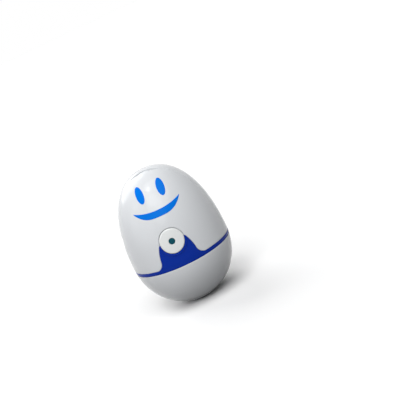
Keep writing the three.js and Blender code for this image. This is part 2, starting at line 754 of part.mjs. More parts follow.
function buttonHousing() {
  const tube = rodY(housingOuter, -flangeFront, -housingFloorBack, 0, buttonHeight);
  const pedestal = block(-pedestalHalfWidth, pedestalHalfWidth, -flangeFront, -housingFloorBack, chamberFloor,
    buttonHeight - housingBore + housingWall);
  const bore = rodY(housingBore, -far, -housingFloorFront, 0, buttonHeight);
  const ledHole = rodY(ledHoleRadius, -far, 0, 0, buttonHeight, smallSides);
  const half = switchSize / 2 + stillGap;
  const low = buttonHeight - switchLow;
  const switchHole = block(-half, half, -far, 0, low - half, low + half);
  return cut(joined(tube, pedestal), bore, ledHole, switchHole);
}

function retainingRing() {
  const back = flangeFront + stillGap;
  const ring = rodY(housingOuter, -back - retainerThickness, -back, 0, buttonHeight);
  return cut(ring, rodY(retainerBore, -far, 0, 0, buttonHeight, eggSides));
}

function tactSwitch() {
  const half = switchSize / 2;
  const body = block(-half, half, -half, half, 0, switchDepth);
  return joined(body, rodZ(switchStubRadius, switchDepth / 2, switchTip, 0, 0, smallSides));
}

// Flat base ring, straight barrel and domed end
function indicatorLed() {
  const dome = new THREE.SphereGeometry(ledRadius, smallSides, smallSides / 2).rotateX(Math.PI / 2);
  const barrel = rodZ(ledRadius, 0, ledLength - ledRadius, 0, 0, smallSides);
  return joined(barrel, solid(dome.translate(0, 0, ledLength - ledRadius)));
}

function deckPlate() {
  const plate = rodZ(deckRadius, deckBottom, deckTop, 0, 0, eggSides);
  const holes = [-1, 1].flatMap((side) => [
    rodZ(screwHoleRadius, 0, eggTop, side * bossSide, -bossForward, smallSides),
    rodZ(screwRecessRadius, deckTop - screwRecessDepth, eggTop, side * bossSide, -bossForward),
  ]);
  return cut(plate, ...holes);
}

// Half tube round the lamp with a flange at each side: facing is 1 for the back half and -1 for the front
function halfSleeve(inner, outer, flangeHalfWidth, facing, z0, z1) {
  const wall = outer - inner;
  const edge = facing * stillGap / 2;
  const tube = cut(rodZ(outer, z0, z1, 0, 0), rodZ(inner, z0 - overrun, z1 + overrun, 0, 0));
  const flange = cut(
    block(-flangeHalfWidth, flangeHalfWidth, Math.min(0, facing * wall), Math.max(0, facing * wall), z0, z1),
    rodZ(inner, z0 - overrun, z1 + overrun, 0, 0));
  const keep = facing > 0 ? block(-far, far, edge, far, z0, z1) : block(-far, far, -far, edge, z0, z1);
  return joined(tube, flange).intersect(keep);
}

function lampReflector() {
  return halfSleeve(reflectorBore, reflectorBore + reflectorWall, guardFlangeHalfWidth, 1, 0,
    guardTop - chamberFloor);
}

function lampGuard() {
  const height = guardTop - guardBottom;
  const sleeve = halfSleeve(reflectorBore, guardOuter, guardFlangeHalfWidth, -1, 0, height);
  const bar = windowPitch - windowOpening;
  const count = Math.floor((height + bar - 2 * windowMargin) / windowPitch);
  const margin = (height + bar - count * windowPitch) / 2;
  const windows = [];
  for (let i = 0; i < count; i += 1) {
    const low = margin + i * windowPitch;
    windows.push(block(-windowHalfWidth, -guardSpine, -far, -lampRadius, low, low + windowOpening));
    windows.push(block(guardSpine, windowHalfWidth, -far, -lampRadius, low, low + windowOpening));
  }
  const holes = [-1, 1].map((side) => rodY(smallShankRadius + stillGap, -far, far, side * guardScrewSide,
    guardScrewHeight - guardBottom, smallSides));
  return cut(sleeve, ...windows, ...holes);
}

// Quartz tube with round ends
function lampTube() {
  const length = lampTop - lampBottom;
  const profile = new THREE.Path();
  profile.moveTo(0, 0);
  profile.absarc(0, lampRadius, lampRadius, -Math.PI / 2, 0, false);
  profile.absarc(0, length - lampRadius, lampRadius, 0, Math.PI / 2, false);
  const points = profile.getPoints(curvePoints / 4);
  points[points.length - 1].x = 0;
  return solid(new THREE.LatheGeometry(points, roundSides).rotateX(Math.PI / 2));
}

function lampCap() {
  const cup = rodZ(capRadius, 0, capLength, 0, 0);
  return cut(cup, rodZ(lampRadius + stillGap, capLength / 2, 2 * capLength, 0, 0));
}

function lampHolderLower() {
  const seat = holderHeight - holderSeat - stillGap;
  return cut(rodZ(holderRadius, 0, holderHeight, 0, 0),
    rodZ(capRadius + stillGap, seat, 2 * holderHeight, 0, 0));
}

function lampHolderUpper() {
  const seat = rodZ(capRadius + stillGap, -overrun, holderTopSeat + stillGap, 0, 0);
  return cut(rodZ(holderRadius, 0, holderTopHeight, 0, 0), seat);
}

// Upright plate with a round notch at the top for the brush's neck
function brushRest() {
  const shape = new THREE.Shape();
  shape.moveTo(-restHalfWidth, chamberFloor);
  shape.lineTo(restHalfWidth, chamberFloor);
  shape.lineTo(restNotchRadius + (restHalfWidth - restNotchRadius) * 2 / 3, slotHeight);
  shape.lineTo(restNotchRadius, slotHeight);
  shape.absarc(0, slotHeight, restNotchRadius, 0, Math.PI, true);
  shape.lineTo(-restNotchRadius - (restHalfWidth - restNotchRadius) * 2 / 3, slotHeight);
  shape.closePath();
  return prismX(shape, -restThickness, 0);
}

function batteryTray() {
  const halfLength = contactInner + contactThickness + trayEndWall;
  const bed = block(-halfLength, halfLength, -trayHalfDepth, trayHalfDepth, trayBottom, trayTop);
  const ends = [-1, 1].map((side) => {
    const inner = side * (contactInner + contactThickness + stillGap);
    const outer = side * halfLength;
    return block(Math.min(inner, outer), Math.max(inner, outer), -trayEndHalfDepth, trayEndHalfDepth,
      trayBottom, trayEndTop);
  });
  const posts = [-1, 1].map((side) => block(side * boardScrewSide - boardPostHalf,
    side * boardScrewSide + boardPostHalf, -trayHalfDepth - boardPostReach, -trayHalfDepth + boardPostReach,
    trayBottom, trayTop));
  const whole = joined(bed, ...ends, ...posts).intersect(egg(shellWall + stillGap));
  const beds = [-1, 1].map((side) =>
    rodX(cellRadius + stillGap, -contactInner - contactThickness - stillGap,
      contactInner + contactThickness + stillGap, side * cellPitch / 2, cellHeight));
  const holes = [-1, 1].map((side) => rodY(screwHoleRadius, -far,
    -boardFront + smallHeadHeight + boardScrewLength, side * boardScrewSide, boardScrewHeight, smallSides));
  return cut(whole, ...beds, ...holes);
}

// Cell along +z: a can with its positive nub at the top
function batteryCell() {
  return joined(rodZ(cellRadius, 0, cellLength, 0, 0),
    rodZ(cellNubRadius, cellLength / 2, cellLength + cellNubLength, 0, 0, smallSides));
}

function contactPlate(halfDepth) {
  return block(0, contactThickness, -halfDepth, halfDepth, -contactHalfHeight, contactHalfHeight);
}

function ballastWeight() {
  const slug = rodZ(ballastRadius, floorTop + stillGap, floorTop + stillGap + ballastHeight, 0, 0, eggSides);
  const notch = block(-hatchRibHalfWidth - 2 * stillGap, hatchRibHalfWidth + 2 * stillGap,
    hatchBossFront - 2 * stillGap, far, 0, eggTop);
  const bossRoom = rodY(hatchBossRadius + stillGap, hatchBossFront - 2 * stillGap, far, 0, hatchEarHeight);
  return cut(slug.intersect(egg(shellWall + stillGap)), notch, bossRoom);
}

function footPad() {
  const pad = new THREE.CylinderGeometry(footRadius, footRadius - footEdge, footThickness, eggSides);
  return solid(pad.rotateX(Math.PI / 2).translate(0, 0, footThickness / 2));
}

function mainBoard() {
  const board = block(-boardHalfWidth, boardHalfWidth, -boardFront, -boardBack, boardBottom,
    deckBottom - stillGap).intersect(egg(shellWall + stillGap));
  const holes = [-1, 1].map((side) =>
    rodY(screwHoleRadius, -far, 0, side * boardScrewSide, boardScrewHeight, smallSides));
  return cut(board, ...holes);
}

// Winding between the two cheeks of the core
function inverterTransformer() {
  const core = block(0, transformerWidth, -transformerDepth, 0, 0, transformerHeight);
  const waist = (transformerHeight - 2 * coreBand) / 2;
  const relief = coreBand / 2;
  const middle = transformerHeight / 2;
  const frontRelief = block(-relief, transformerWidth + relief, -2 * transformerDepth,
    relief - transformerDepth, middle - waist, middle + waist);
  const leftRelief = block(-relief, relief, -2 * transformerDepth, transformerDepth,
    middle - waist, middle + waist);
  return cut(core, frontRelief, leftRelief);
}

// Places a mesh in its parent group
function piece(name, shape, material, place = [0, 0, 0], turn = [0, 0, 0]) {
  const mesh = new THREE.Mesh(geometryOf(shape), material);
  mesh.name = name;
  mesh.position.set(...place);
  mesh.rotation.set(...turn);
  return mesh;
}

function material(color, roughness, metalness = 0) {
  return new THREE.MeshStandardMaterial({ color, roughness, metalness });
}

const whitePlastic = material(0xeceff1, 0.18);
const offWhitePlastic = material(0xe4e2dc, 0.3);
const innerPlastic = material(0xdde1e4, 0.45);
const bluePlastic = material(0x0a33a8, 0.12);
const facePrint = material(0x0a6fe0, 0.2);
const windowPlastic = material(0x0c6472, 0.15);
const steel = material(0xb8bcc0, 0.3, 1);
const mirrorMetal = material(0xdadde0, 0.12, 1);
const rubber = material(0x2b2f35, 0.8);
const quartz = material(0xcfe2ff, 0.05);
const boardGreen = material(0x1f6b46, 0.5);
const blackPlastic = material(0x1b1d20, 0.4);
const cellWrap = material(0x3a4048, 0.35, 0.5);

const turnToFront = [Math.PI / 2, 0, 0];
const turnToBack = [-Math.PI / 2, 0, 0];
const group = new THREE.Group();

// Shells
group.add(
  piece("lower_bowl", lowerBowl(), whitePlastic),
  piece("blue_band", blueBand(), bluePlastic),
  piece("rear_shell", rearShell(), whitePlastic),
  piece("neck_grommet", neckGrommet(), rubber),
  piece("chamber_liner", chamberLiner(), innerPlastic),
  piece("deck_plate", deckPlate(), innerPlastic),
  piece("hinge_pin", rodX(pinRadius, -lugEnd + pinShort, lugEnd - pinShort, 0, 0, smallSides), steel,
    [0, -seamForward, hingeHeight]),
);

// Door
group.add(
  piece("face_door", faceDoor(), whitePlastic),
  piece("eye_left", printPiece(eyeOutline(-1, stillGap / 2)), facePrint),
  piece("eye_right", printPiece(eyeOutline(1, stillGap / 2)), facePrint),
  piece("smile", printPiece(smileOutline(printFillShare)), facePrint),
  piece("door_reflector", doorReflector(), mirrorMetal),
);
for (const [name, side] of [["left", -1], ["right", 1]]) {
  const catchPlace = [side * magnetSide, -magnetForward, chamberFloor];
  const magnetLevel = chamberFloor + catchThickness + catchGap + stillGap / 3;
  const magnetPlace = [side * magnetSide, -magnetForward, magnetLevel];
  group.add(piece(`catch_plate_${name}`, rodZ(magnetRadius, 0, catchThickness, 0, 0), steel, catchPlace));
  group.add(piece(`door_magnet_${name}`, rodZ(magnetRadius, 0, magnetThickness, 0, 0), steel, magnetPlace));
}

// Button
const boardFace = -switchBoardFront - stillGap;
group.add(
  piece("button_cap", buttonCap(), offWhitePlastic),
  piece("indicator_window", indicatorWindow(), windowPlastic),
  piece("button_housing", buttonHousing(), innerPlastic),
  piece("button_retaining_ring", retainingRing(), innerPlastic),
  piece("switch_board", rodZ(switchBoardRadius, 0, boardThickness, 0, 0), boardGreen,
    [0, -switchBoardFront + boardThickness, buttonHeight], turnToFront),
  piece("tact_switch", tactSwitch(), blackPlastic, [0, boardFace, buttonHeight - switchLow], turnToFront),
  piece("indicator_led", indicatorLed(), windowPlastic, [0, boardFace, buttonHeight], turnToFront),
  piece("button_spring",
    spring(buttonSpringRadius, buttonSpringWire, buttonFaceDepth - housingFloorFront - 2 * stillGap,
      buttonSpringTurns),
    steel, [0, -housingFloorFront - stillGap, buttonHeight], turnToFront),
);

// Lamp
const lampGroup = new THREE.Group();
lampGroup.position.set(0, lampBack, 0);
lampGroup.add(
  piece("lamp_tube", lampTube(), quartz, [0, 0, lampBottom]),
  piece("lamp_cap_lower", lampCap(), steel, [0, 0, capBottom]),
  piece("lamp_cap_upper", lampCap(), steel, [0, 0, capTop], [Math.PI, 0, 0]),
  piece("lamp_holder_lower", lampHolderLower(), innerPlastic, [0, 0, chamberFloor]),
  piece("lamp_holder_upper", lampHolderUpper(), innerPlastic, [0, 0, holderTopBottom]),
  piece("lamp_reflector", lampReflector(), mirrorMetal, [0, 0, chamberFloor]),
  piece("lamp_guard", lampGuard(), innerPlastic, [0, 0, guardBottom]),
);
for (const [name, side] of [["left", -1], ["right", 1]]) {
  const place = [side * guardScrewSide, -guardWall - stillGap, guardScrewHeight];
  const shape = screw(smallHeadRadius, smallHeadHeight, smallShankRadius, guardWall);
  lampGroup.add(piece(`guard_screw_${name}`, shape, steel, place, turnToBack));
}
group.add(lampGroup);
group.add(piece("brush_rest", brushRest(), innerPlastic, [-restInner, -restNotchBack, 0]));

// Power
const nubEnd = contactInner - stillGap;
const cellStart = nubEnd - cellNubLength - cellLength;
const turnToRight = [0, Math.PI / 2, 0];
const turnToLeft = [0, -Math.PI / 2, 0];
group.add(
  piece("battery_tray", batteryTray(), innerPlastic),
  piece("battery_cell_front", batteryCell(), cellWrap, [cellStart, -cellPitch / 2, cellHeight], turnToRight),
  piece("battery_cell_rear", batteryCell(), cellWrap, [-cellStart, cellPitch / 2, cellHeight], turnToLeft),
  piece("contact_bridge", contactPlate((cellPitch + 2 * contactHalfHeight) / 2), steel,
    [-contactInner - contactThickness, 0, cellHeight]),
  piece("contact_front", contactPlate(contactHalfHeight), steel, [contactInner, -cellPitch / 2, cellHeight]),
  piece("contact_rear", contactPlate(contactHalfHeight), steel, [contactInner, cellPitch / 2, cellHeight]),
  piece("contact_spring_front",
    spring(contactSpringRadius, contactSpringWire, contactSpringLength, contactSpringTurns), steel,
    [-contactInner + stillGap, -cellPitch / 2, cellHeight], turnToRight),
  piece("contact_spring_rear",
    spring(contactSpringRadius, contactSpringWire, contactSpringLength, contactSpringTurns), steel,
    [contactInner - stillGap, cellPitch / 2, cellHeight], turnToLeft),
  piece("battery_hatch", batteryHatch(), whitePlastic),
  piece("hatch_screw", screw(screwHeadRadius, screwHeadHeight, screwShankRadius, hatchScrewLength), steel,
    [0, hatchSeat + stillGap, hatchEarHeight], turnToFront),
  piece("main_board", mainBoard(), boardGreen),
  piece("inverter_transformer", inverterTransformer(), blackPlastic,
    [-transformerLeft, -boardFront - stillGap, transformerBottom]),
  piece("capacitor", rodZ(capacitorRadius, 0, transformerDepth, 0, 0), blackPlastic,
    [capacitorSide, -boardFront - stillGap, capacitorHeight], turnToFront),
  piece("timer_chip", block(-chipWidth / 2, chipWidth / 2, -chipDepth, 0, -chipHeight / 2, chipHeight / 2),
    blackPlastic, [chipSide, -boardFront - stillGap, chipLevel]),
  piece("reed_switch", rodX(reedRadius, -reedLength / 2, reedLength / 2, 0, 0, smallSides), quartz,
    [reedSide, -boardFront - stillGap - reedRadius, reedHeight]),
);
for (const [name, side] of [["left", -1], ["right", 1]]) {
  group.add(piece(`board_screw_${name}`,
    screw(smallHeadRadius, smallHeadHeight, smallShankRadius, boardScrewLength), steel,
    [side * boardScrewSide, -boardFront - stillGap, boardScrewHeight], turnToBack));
  group.add(piece(`housing_screw_${name}`,
    screw(screwHeadRadius, screwHeadHeight, screwShankRadius, screwLength), steel,
    [side * bossSide, -bossForward, deckTop - screwRecessDepth + stillGap], [Math.PI, 0, 0]));
}

// Standing
group.add(
  piece("ballast_weight", ballastWeight(), steel),
  piece("foot_pad", footPad(), rubber),
);

export default group;
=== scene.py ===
import json
import math

import bmesh
import bpy
import numpy as np
from mathutils import Matrix, Vector
from mathutils.geometry import delaunay_2d_cdt

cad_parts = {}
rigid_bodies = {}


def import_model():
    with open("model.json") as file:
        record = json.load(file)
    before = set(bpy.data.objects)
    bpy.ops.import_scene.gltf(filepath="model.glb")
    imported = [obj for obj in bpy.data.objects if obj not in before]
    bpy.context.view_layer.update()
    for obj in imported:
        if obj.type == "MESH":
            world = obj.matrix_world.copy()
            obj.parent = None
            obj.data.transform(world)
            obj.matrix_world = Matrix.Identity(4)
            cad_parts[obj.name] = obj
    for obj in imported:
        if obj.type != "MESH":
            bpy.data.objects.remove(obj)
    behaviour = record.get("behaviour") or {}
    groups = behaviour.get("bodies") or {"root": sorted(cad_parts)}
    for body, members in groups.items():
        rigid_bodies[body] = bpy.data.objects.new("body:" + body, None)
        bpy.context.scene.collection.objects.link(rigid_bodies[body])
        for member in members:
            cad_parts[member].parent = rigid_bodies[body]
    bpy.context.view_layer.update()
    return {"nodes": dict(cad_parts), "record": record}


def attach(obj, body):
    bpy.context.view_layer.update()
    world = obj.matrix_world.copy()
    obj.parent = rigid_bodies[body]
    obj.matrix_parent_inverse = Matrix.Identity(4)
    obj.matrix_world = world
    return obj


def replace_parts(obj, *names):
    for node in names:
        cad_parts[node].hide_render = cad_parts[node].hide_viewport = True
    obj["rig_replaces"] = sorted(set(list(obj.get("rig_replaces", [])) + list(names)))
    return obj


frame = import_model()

# Sizes are in millimetres, and become metres where a mesh is made
MM = 0.001

# Egg: a turned body whose halves are rounded a little fuller than an ellipse
EGG_RADIUS = 38.0
WAIST = 40.5
CROWN_RISE = 65.1
CROWN_POWER = 2.24
BOWL_POWER = 2.07
PROFILE_STEPS = 3000
WALL = 2.2
GAP = 0.3

# Parting planes
BAND_LOW = 35.75
BAND_INSIDE = BAND_LOW + 1
BAND_HIGH = 38.3
SHELL_LOW = 38.45
BOWL_HIGH = 35.6
SEAM = -8.5

# Face: two ovals, and a crescent between two curves that ends short of where they meet
EYE_SIDE = 8.1
EYE_HEIGHT = 92.4
EYE_HALF = (2.92, 5.83)
SMILE_HALF = 18.35
SMILE_TIP = 82.35
SMILE_DROPS = (7.75, 2.65)
SMILE_POWERS = (3.3, 2.2)
SMILE_REACH = 0.985
SMILE_FILL = 0.94
EYE_SIDES = 96
SMILE_STEPS = 80
PRINT_DEPTH = 0.8
PRINT_PROUD = 0.05

# Collar, its raised rim, and the button
COLLAR_CURVES = (
    ((19.5, 38.15), (14.9, 38.5), (13.6, 43.2)),
    ((13.6, 43.2), (12.9, 50.0), (9.8, 55.6)),
)
COLLAR_STEPS = 24
COLLAR_RIM = 10.7
RIM_RISE = 0.45
RIM_SLOPE = 0.28
RIM_RINGS = (-0.15, -0.08, 0.0, 0.08, 0.15)
RIM_SIDES = 200
RIM_MARGIN = 0.4
RIM_REACH = 2.0
BUTTON_HEIGHT = 55.75
BUTTON_RADIUS = 9.1
BUTTON_PROUD = 0.4
BUTTON_BORE = 9.45
BUTTON_GROOVE = 9.55
BUTTON_EDGE = 0.8
BUTTON_SKIRT_BACK = -29.7
WINDOW_RADIUS = 2.2
WINDOW_GAP = 0.2
WINDOW_PROUD = 0.3
WINDOW_EDGE = 0.35
WINDOW_BACK = -31.0

# Hinge
HINGE_HEIGHT = 102.4
BARREL_RADIUS = 1.4
BARREL_RIM = 0.15
PIN_BORE = 0.95
KNUCKLE_HALF = 3.4
KNUCKLE_WEB_GAP = 0.3
KNUCKLE_WEB_RISE = (0.2, 1.3)
LUG_ENDS = (3.8, 6.6)
LUG_WEB_SPAN = (-0.5, 1.0)
LUG_WEB_DEPTH = 3.0
LUG_ROOM = 1.8
LUG_SPAN = (3.55, 6.9)
LUG_MARGIN = 0.5
THIN_WALL = 0.5
RUN_GAP = 0.4
TROUGH_HALF = 10.0
TROUGH_WALL = 1.2
TROUGH_STEPS = (14, 21)
GROOVE_HALF = 11.2
GROOVE_DEPTH = 1.0

# Neck slot in the left side, and the liner of the chamber
SLOT_HEIGHT = 62.5
SLOT_CENTRE = -3.8
SLOT_RADIUS = 5.0
LINER_WALL = 1.2
LINER_STEP = 1.2

# Bowl and hatch
HATCH_HALF = 27.6
HATCH_SPAN = (17.2, 33.0)
HATCH_CORNER = 2.5
EAR_HEIGHT = 14.4
EAR_RADIUS = 4.5
SCREW_RECESS = 2.7
SCREW_HOLE = 1.3
HATCH_SEAT = 26.3
HATCH_PAD = 3.6
HATCH_PAD_FRONT = 24.5
HATCH_PAD_BACK = (27.6, 28.0)
BOSS_SPAN = (16.5, 24.2)
BOSS_RADIUS = 3.4
RIB_HALF = 1.5
RIB_DROP = 2.0
FOOT_RECESS = 9.9
FLOOR_SPAN = (1.9, 3.3)
FLOOR_RADIUS = 13.0

# Door catch
MAGNET_SIDE = 21.0
MAGNET_BLOCK_HALF = 3.8
MAGNET_BLOCK_BACK = -20.2
MAGNET_BLOCK_SPAN = (40.1, 44.4)

# How finely the skins are made
FAR = 4.0
MAP_SPARE = 2.0
GRID_STEP = 0.3
EDGE_RINGS = (0, 0.12, 0.35, 0.65, 1)
FLAT_RING = 0.45
DOT_MARGIN = 1.0
SLIVER = 0.01
SHORTEST_LINE = 5
FEWEST_POINTS = 8
SAME_PLACE = 1e-6
TINY = 1e-9
SHELL_EDGE = 0.35
BAND_EDGE = 0.25
LINER_EDGE = 0.1
PRINT_EDGE = 0.04
SHELL_SPACING = 0.5
SHELL_COARSE = 2.2
PRINT_SPACING = 0.35
PRINT_COARSE = 1.2

# Rounding and fineness of the other pieces, with the angles in degrees
NODE_BEVEL = 0.12
NODE_ANGLE = 38
FLAT_ANGLE = 0.6
BOX_BEVEL = 0.15
BOX_ANGLE = 30
SHARP_ANGLE = 32
DISC_ANGLE = 50
DISC_SIDES = 160
DISC_EDGE_STEPS = 8
DISC_FACE_STEPS = 14
DISC_CENTRE = [0.4, 0.02]
SMALL_SIDES = 48
PAD_SIDES = 64
FLOOR_SIDES = 96
BLOCK_STEPS = 9
AXIS = 0.01

nodes = frame["nodes"]
behaviour = frame["record"]["behaviour"]
body_of = {node: body for body, names in behaviour["bodies"].items() for node in names}
slot_of = {part["node"]: part["material_slot"] for part in frame["record"]["subparts"]}


# ---------------------------------------------------------------- the egg's skin as a flat map


class Chart:
    """Map of the egg's skin round one pole: the way from the map's middle is the way along it."""

    def __init__(self, from_top, reach):
        angle = np.linspace(0, math.pi / 2, PROFILE_STEPS)
        rows = []
        for power, rise, side in ((CROWN_POWER, CROWN_RISE, 1), (BOWL_POWER, WAIST, -1)):
            across = np.clip(np.cos(angle), 0, 1) ** (2 / power)
            along = np.sin(angle) ** (2 / power)
            out = across ** (power - 1) / EGG_RADIUS
            up = along ** (power - 1) / rise
            slope = np.hypot(out, up)
            place = [EGG_RADIUS * across, WAIST + side * rise * along]
            half = np.stack([*place, out / slope, side * up / slope], 1)
            rows.append(half[::-1] if side > 0 else half[1:])
        line = np.concatenate(rows)
        if not from_top:
            line = line[::-1]
        step = np.hypot(np.diff(line[:, 0]), np.diff(line[:, 1]))
        self.way = np.concatenate([[0], np.cumsum(step)])
        self.line = line
        self.flip = not from_top
        order = slice(None, None, -1) if from_top else slice(None)
        self.heights, self.ways = line[order, 1], self.way[order]
        self.reach = float(np.interp(reach, self.heights, self.ways))

    def at(self, a, b):
        """Radius, height and normal of the skin at map places, and the direction from the axis."""
        rho = np.hypot(a, b)
        safe = np.maximum(rho, TINY)
        values = [np.interp(rho, self.way, self.line[:, k]) for k in range(4)]
        return values, a / safe, b / safe

    def point(self, a, b, inset=0.0):
        (r, z, out, up), da, db = self.at(a, b)
        return np.stack([da * (r - out * inset), db * (r - out * inset), z - up * inset], -1)

    def normal(self, a, b):
        (_, _, out, up), da, db = self.at(a, b)
        return np.stack([da * out, db * out, up], -1)

    def locate(self, x, y, z):
        """Map places of points whose height and direction from the axis are given."""
        rho = np.interp(z, self.heights, self.ways)
        r = np.maximum(np.hypot(x, y), TINY)
        return np.stack([x / r * rho, y / r * rho], -1)


def crown_height(distance):
    """Height of the crown's skin at a distance from the axis."""
    share = np.clip(np.abs(distance) / EGG_RADIUS, 0, 1) ** CROWN_POWER
    return WAIST + CROWN_RISE * (1 - share) ** (1 / CROWN_POWER)


# ---------------------------------------------------------------- outlines in the front view


def eye_loop(side):
    turn = np.linspace(0, 2 * math.pi, EYE_SIDES, endpoint=False)
    return np.stack([side * EYE_SIDE + EYE_HALF[0] * np.cos(turn),
                     EYE_HEIGHT + EYE_HALF[1] * np.sin(turn)], 1)


def smile_loop():
    x = SMILE_HALF * SMILE_REACH * np.cos(np.linspace(math.pi, 0, SMILE_STEPS))
    edge = [SMILE_TIP - drop * (1 - np.abs(x / SMILE_HALF) ** power)
            for drop, power in zip(SMILE_DROPS, SMILE_POWERS)]
    middle, half = (edge[0] + edge[1]) / 2, (edge[1] - edge[0]) / 2 * SMILE_FILL
    lower = np.stack([x, middle - half], 1)
    upper = np.stack([x, middle + half], 1)[::-1]
    return np.concatenate([lower, upper[1:-1]])


def collar_loop(margin):
    """The collar's outline, moved outward by margin, with its foot inside the band."""
    share = np.linspace(0, 1, COLLAR_STEPS)[:, None]
    side = []
    for k, curve in enumerate(COLLAR_CURVES):
        start, control, end = (np.array(p) for p in curve)
        lift = np.array([margin, margin if k == 0 else 0.0])
        points = (1 - share) ** 2 * (start + [margin, 0])
        points = points + 2 * share * (1 - share) * (control + lift)
        side.append(points + share ** 2 * (end + [margin, 0]))
    foot = [[COLLAR_CURVES[0][0][0] + margin, BAND_INSIDE]]
    side = np.concatenate([foot, side[0], side[1][1:]])
    return np.concatenate([side, (side * [-1, 1])[::-1]])


def inside_loop(x, z, loop):
    """Distance to a closed loop, above 0 inside it, and minus FAR well outside it."""
    result = np.full(x.shape, -FAR)
    low, high = loop.min(0) - FAR, loop.max(0) + FAR
    near = (x > low[0]) & (x < high[0]) & (z > low[1]) & (z < high[1])
    px, pz = x[near], z[near]
    best = np.full(px.shape, 1e9)
    inside = np.zeros(px.shape, bool)
    for (ax, az), (bx, bz) in zip(loop, np.roll(loop, -1, 0)):
        dx, dz = bx - ax, bz - az
        share = np.clip(((px - ax) * dx + (pz - az) * dz) / (dx * dx + dz * dz), 0, 1)
        best = np.minimum(best, (px - ax - share * dx) ** 2 + (pz - az - share * dz) ** 2)
        crosses = (az > pz) != (bz > pz)
        inside ^= crosses & (px < ax + dx * (pz - az) / (dz if dz else 1.0))
    result[near] = np.where(inside, 1, -1) * np.sqrt(best)
    return result


def hatch_inside(x, z, shrink):
    """Distance inside the hatch: a rounded panel with a round ear for the screw below it."""
    half = HATCH_HALF - shrink
    low, high = HATCH_SPAN[0] + shrink, HATCH_SPAN[1] - shrink
    qx = np.abs(x) - (half - HATCH_CORNER)
    qz = np.abs(z - (low + high) / 2) - ((high - low) / 2 - HATCH_CORNER)
    outside = np.hypot(np.maximum(qx, 0), np.maximum(qz, 0))
    panel = HATCH_CORNER - outside - np.minimum(np.maximum(qx, qz), 0)
    ear = EAR_RADIUS - shrink
    length = np.minimum(z - EAR_HEIGHT, HATCH_SPAN[0] + HATCH_CORNER - z)
    tongue = np.minimum(ear - np.abs(x), length)
    return np.maximum(np.maximum(panel, ear - np.hypot(x, z - EAR_HEIGHT)), tongue)


def slot_inside(x, y, z):
    """Distance inside the neck slot, which is on the left side and open to the seam."""
    straight = SLOT_RADIUS - np.abs(z - SLOT_HEIGHT)
    round_end = SLOT_RADIUS - np.hypot(y - SLOT_CENTRE, z - SLOT_HEIGHT)
    return np.where(x < 0, np.where(y < SLOT_CENTRE, straight, round_end), -FAR)


# ---------------------------------------------------------------- regions: above 0 on a shell


def in_front(y, distance):
    """Keeps a distance that was measured in the front view to the front half of the egg."""
    return np.where(y < 0, distance, -FAR)


def outside_button(x, y, z, radius):
    return np.where(y < 0, np.hypot(x, z - BUTTON_HEIGHT) - radius, FAR)


def hinge_distance(y, z):
    return np.hypot(y - SEAM, z - HINGE_HEIGHT) - LUG_ROOM


def door_region(p):
    x, y, z = np.moveaxis(p, -1, 0)
    inside = np.minimum(SEAM - GAP / 2 - y, z - SHELL_LOW)
    inside = np.minimum(inside, -in_front(y, inside_loop(x, z, collar_loop(GAP))))
    inside = np.minimum(inside, outside_button(x, y, z, BUTTON_GROOVE))
    lug = (np.abs(x) > LUG_SPAN[0]) & (np.abs(x) < LUG_SPAN[1]) & (z > HINGE_HEIGHT - LUG_ROOM)
    return np.minimum(inside, np.where(lug, hinge_distance(y, z), FAR))


def door_wall(p):
    """The door's wall, which gets thin over the hinge's lugs."""
    x, y, z = np.moveaxis(p, -1, 0)
    near = (np.abs(x) < LUG_SPAN[1] + LUG_MARGIN) & (z > HINGE_HEIGHT - LUG_ROOM)
    return np.where(near, np.clip(hinge_distance(y, z), THIN_WALL, WALL), WALL)


def rear_region(p):
    x, y, z = np.moveaxis(p, -1, 0)
    reach = np.maximum(crown_height(np.hypot(x, SEAM)) - HINGE_HEIGHT, 0) + RUN_GAP
    groove = np.minimum(GROOVE_HALF - np.abs(x), reach + SEAM - y)
    groove = np.where(z > HINGE_HEIGHT - GROOVE_DEPTH, groove, -FAR)
    inside = np.minimum(y - SEAM - GAP / 2, z - SHELL_LOW)
    return np.minimum(np.minimum(inside, -groove), -slot_inside(x, y, z))


def liner_region(p):
    x, y, z = np.moveaxis(p, -1, 0)
    inside = np.minimum(y - SEAM - LINER_STEP, z - SHELL_LOW + GAP / 2)
    depth = crown_height(SEAM) - HINGE_HEIGHT + RUN_GAP + TROUGH_WALL + GAP
    floor = HINGE_HEIGHT - 2 * BARREL_RADIUS - TROUGH_WALL - 2 * RUN_GAP
    room = np.minimum(TROUGH_HALF + 2 * GAP - np.abs(x), SEAM + depth - y)
    room = np.minimum(room, z - floor)
    return np.minimum(np.minimum(inside, -slot_inside(x, y, z)), -room)


def band_region(p):
    x, y, z = np.moveaxis(p, -1, 0)
    ring = np.minimum(z - BAND_LOW, BAND_HIGH - z)
    collar = in_front(y, inside_loop(x, z, collar_loop(GAP / 2)))
    return np.minimum(np.maximum(ring, collar), outside_button(x, y, z, BUTTON_BORE))


def band_lift(p):
    """How far the collar's rim round the button stands out."""
    x, y, z = np.moveaxis(p, -1, 0)
    way_in = COLLAR_RIM + RIM_SLOPE / 2 - np.hypot(x, z - BUTTON_HEIGHT)
    share = np.clip(way_in / RIM_SLOPE, 0, 1)
    rise = RIM_RISE * share * share * (3 - 2 * share)
    return np.where((y < 0) & (z < BUTTON_HEIGHT + RIM_REACH), rise, 0)


def bowl_region(p):
    x, y, z = np.moveaxis(p, -1, 0)
    inside = np.minimum(BOWL_HIGH - z, np.hypot(x, y) - FOOT_RECESS)
    return np.minimum(inside, np.where(y > 0, -hatch_inside(x, z, 0), FAR))


def hatch_region(p):
    x, y, z = np.moveaxis(p, -1, 0)
    inside = np.minimum(hatch_inside(x, z, GAP), np.hypot(x, z - EAR_HEIGHT) - SCREW_RECESS)
    return np.where(y > 0, inside, -FAR)


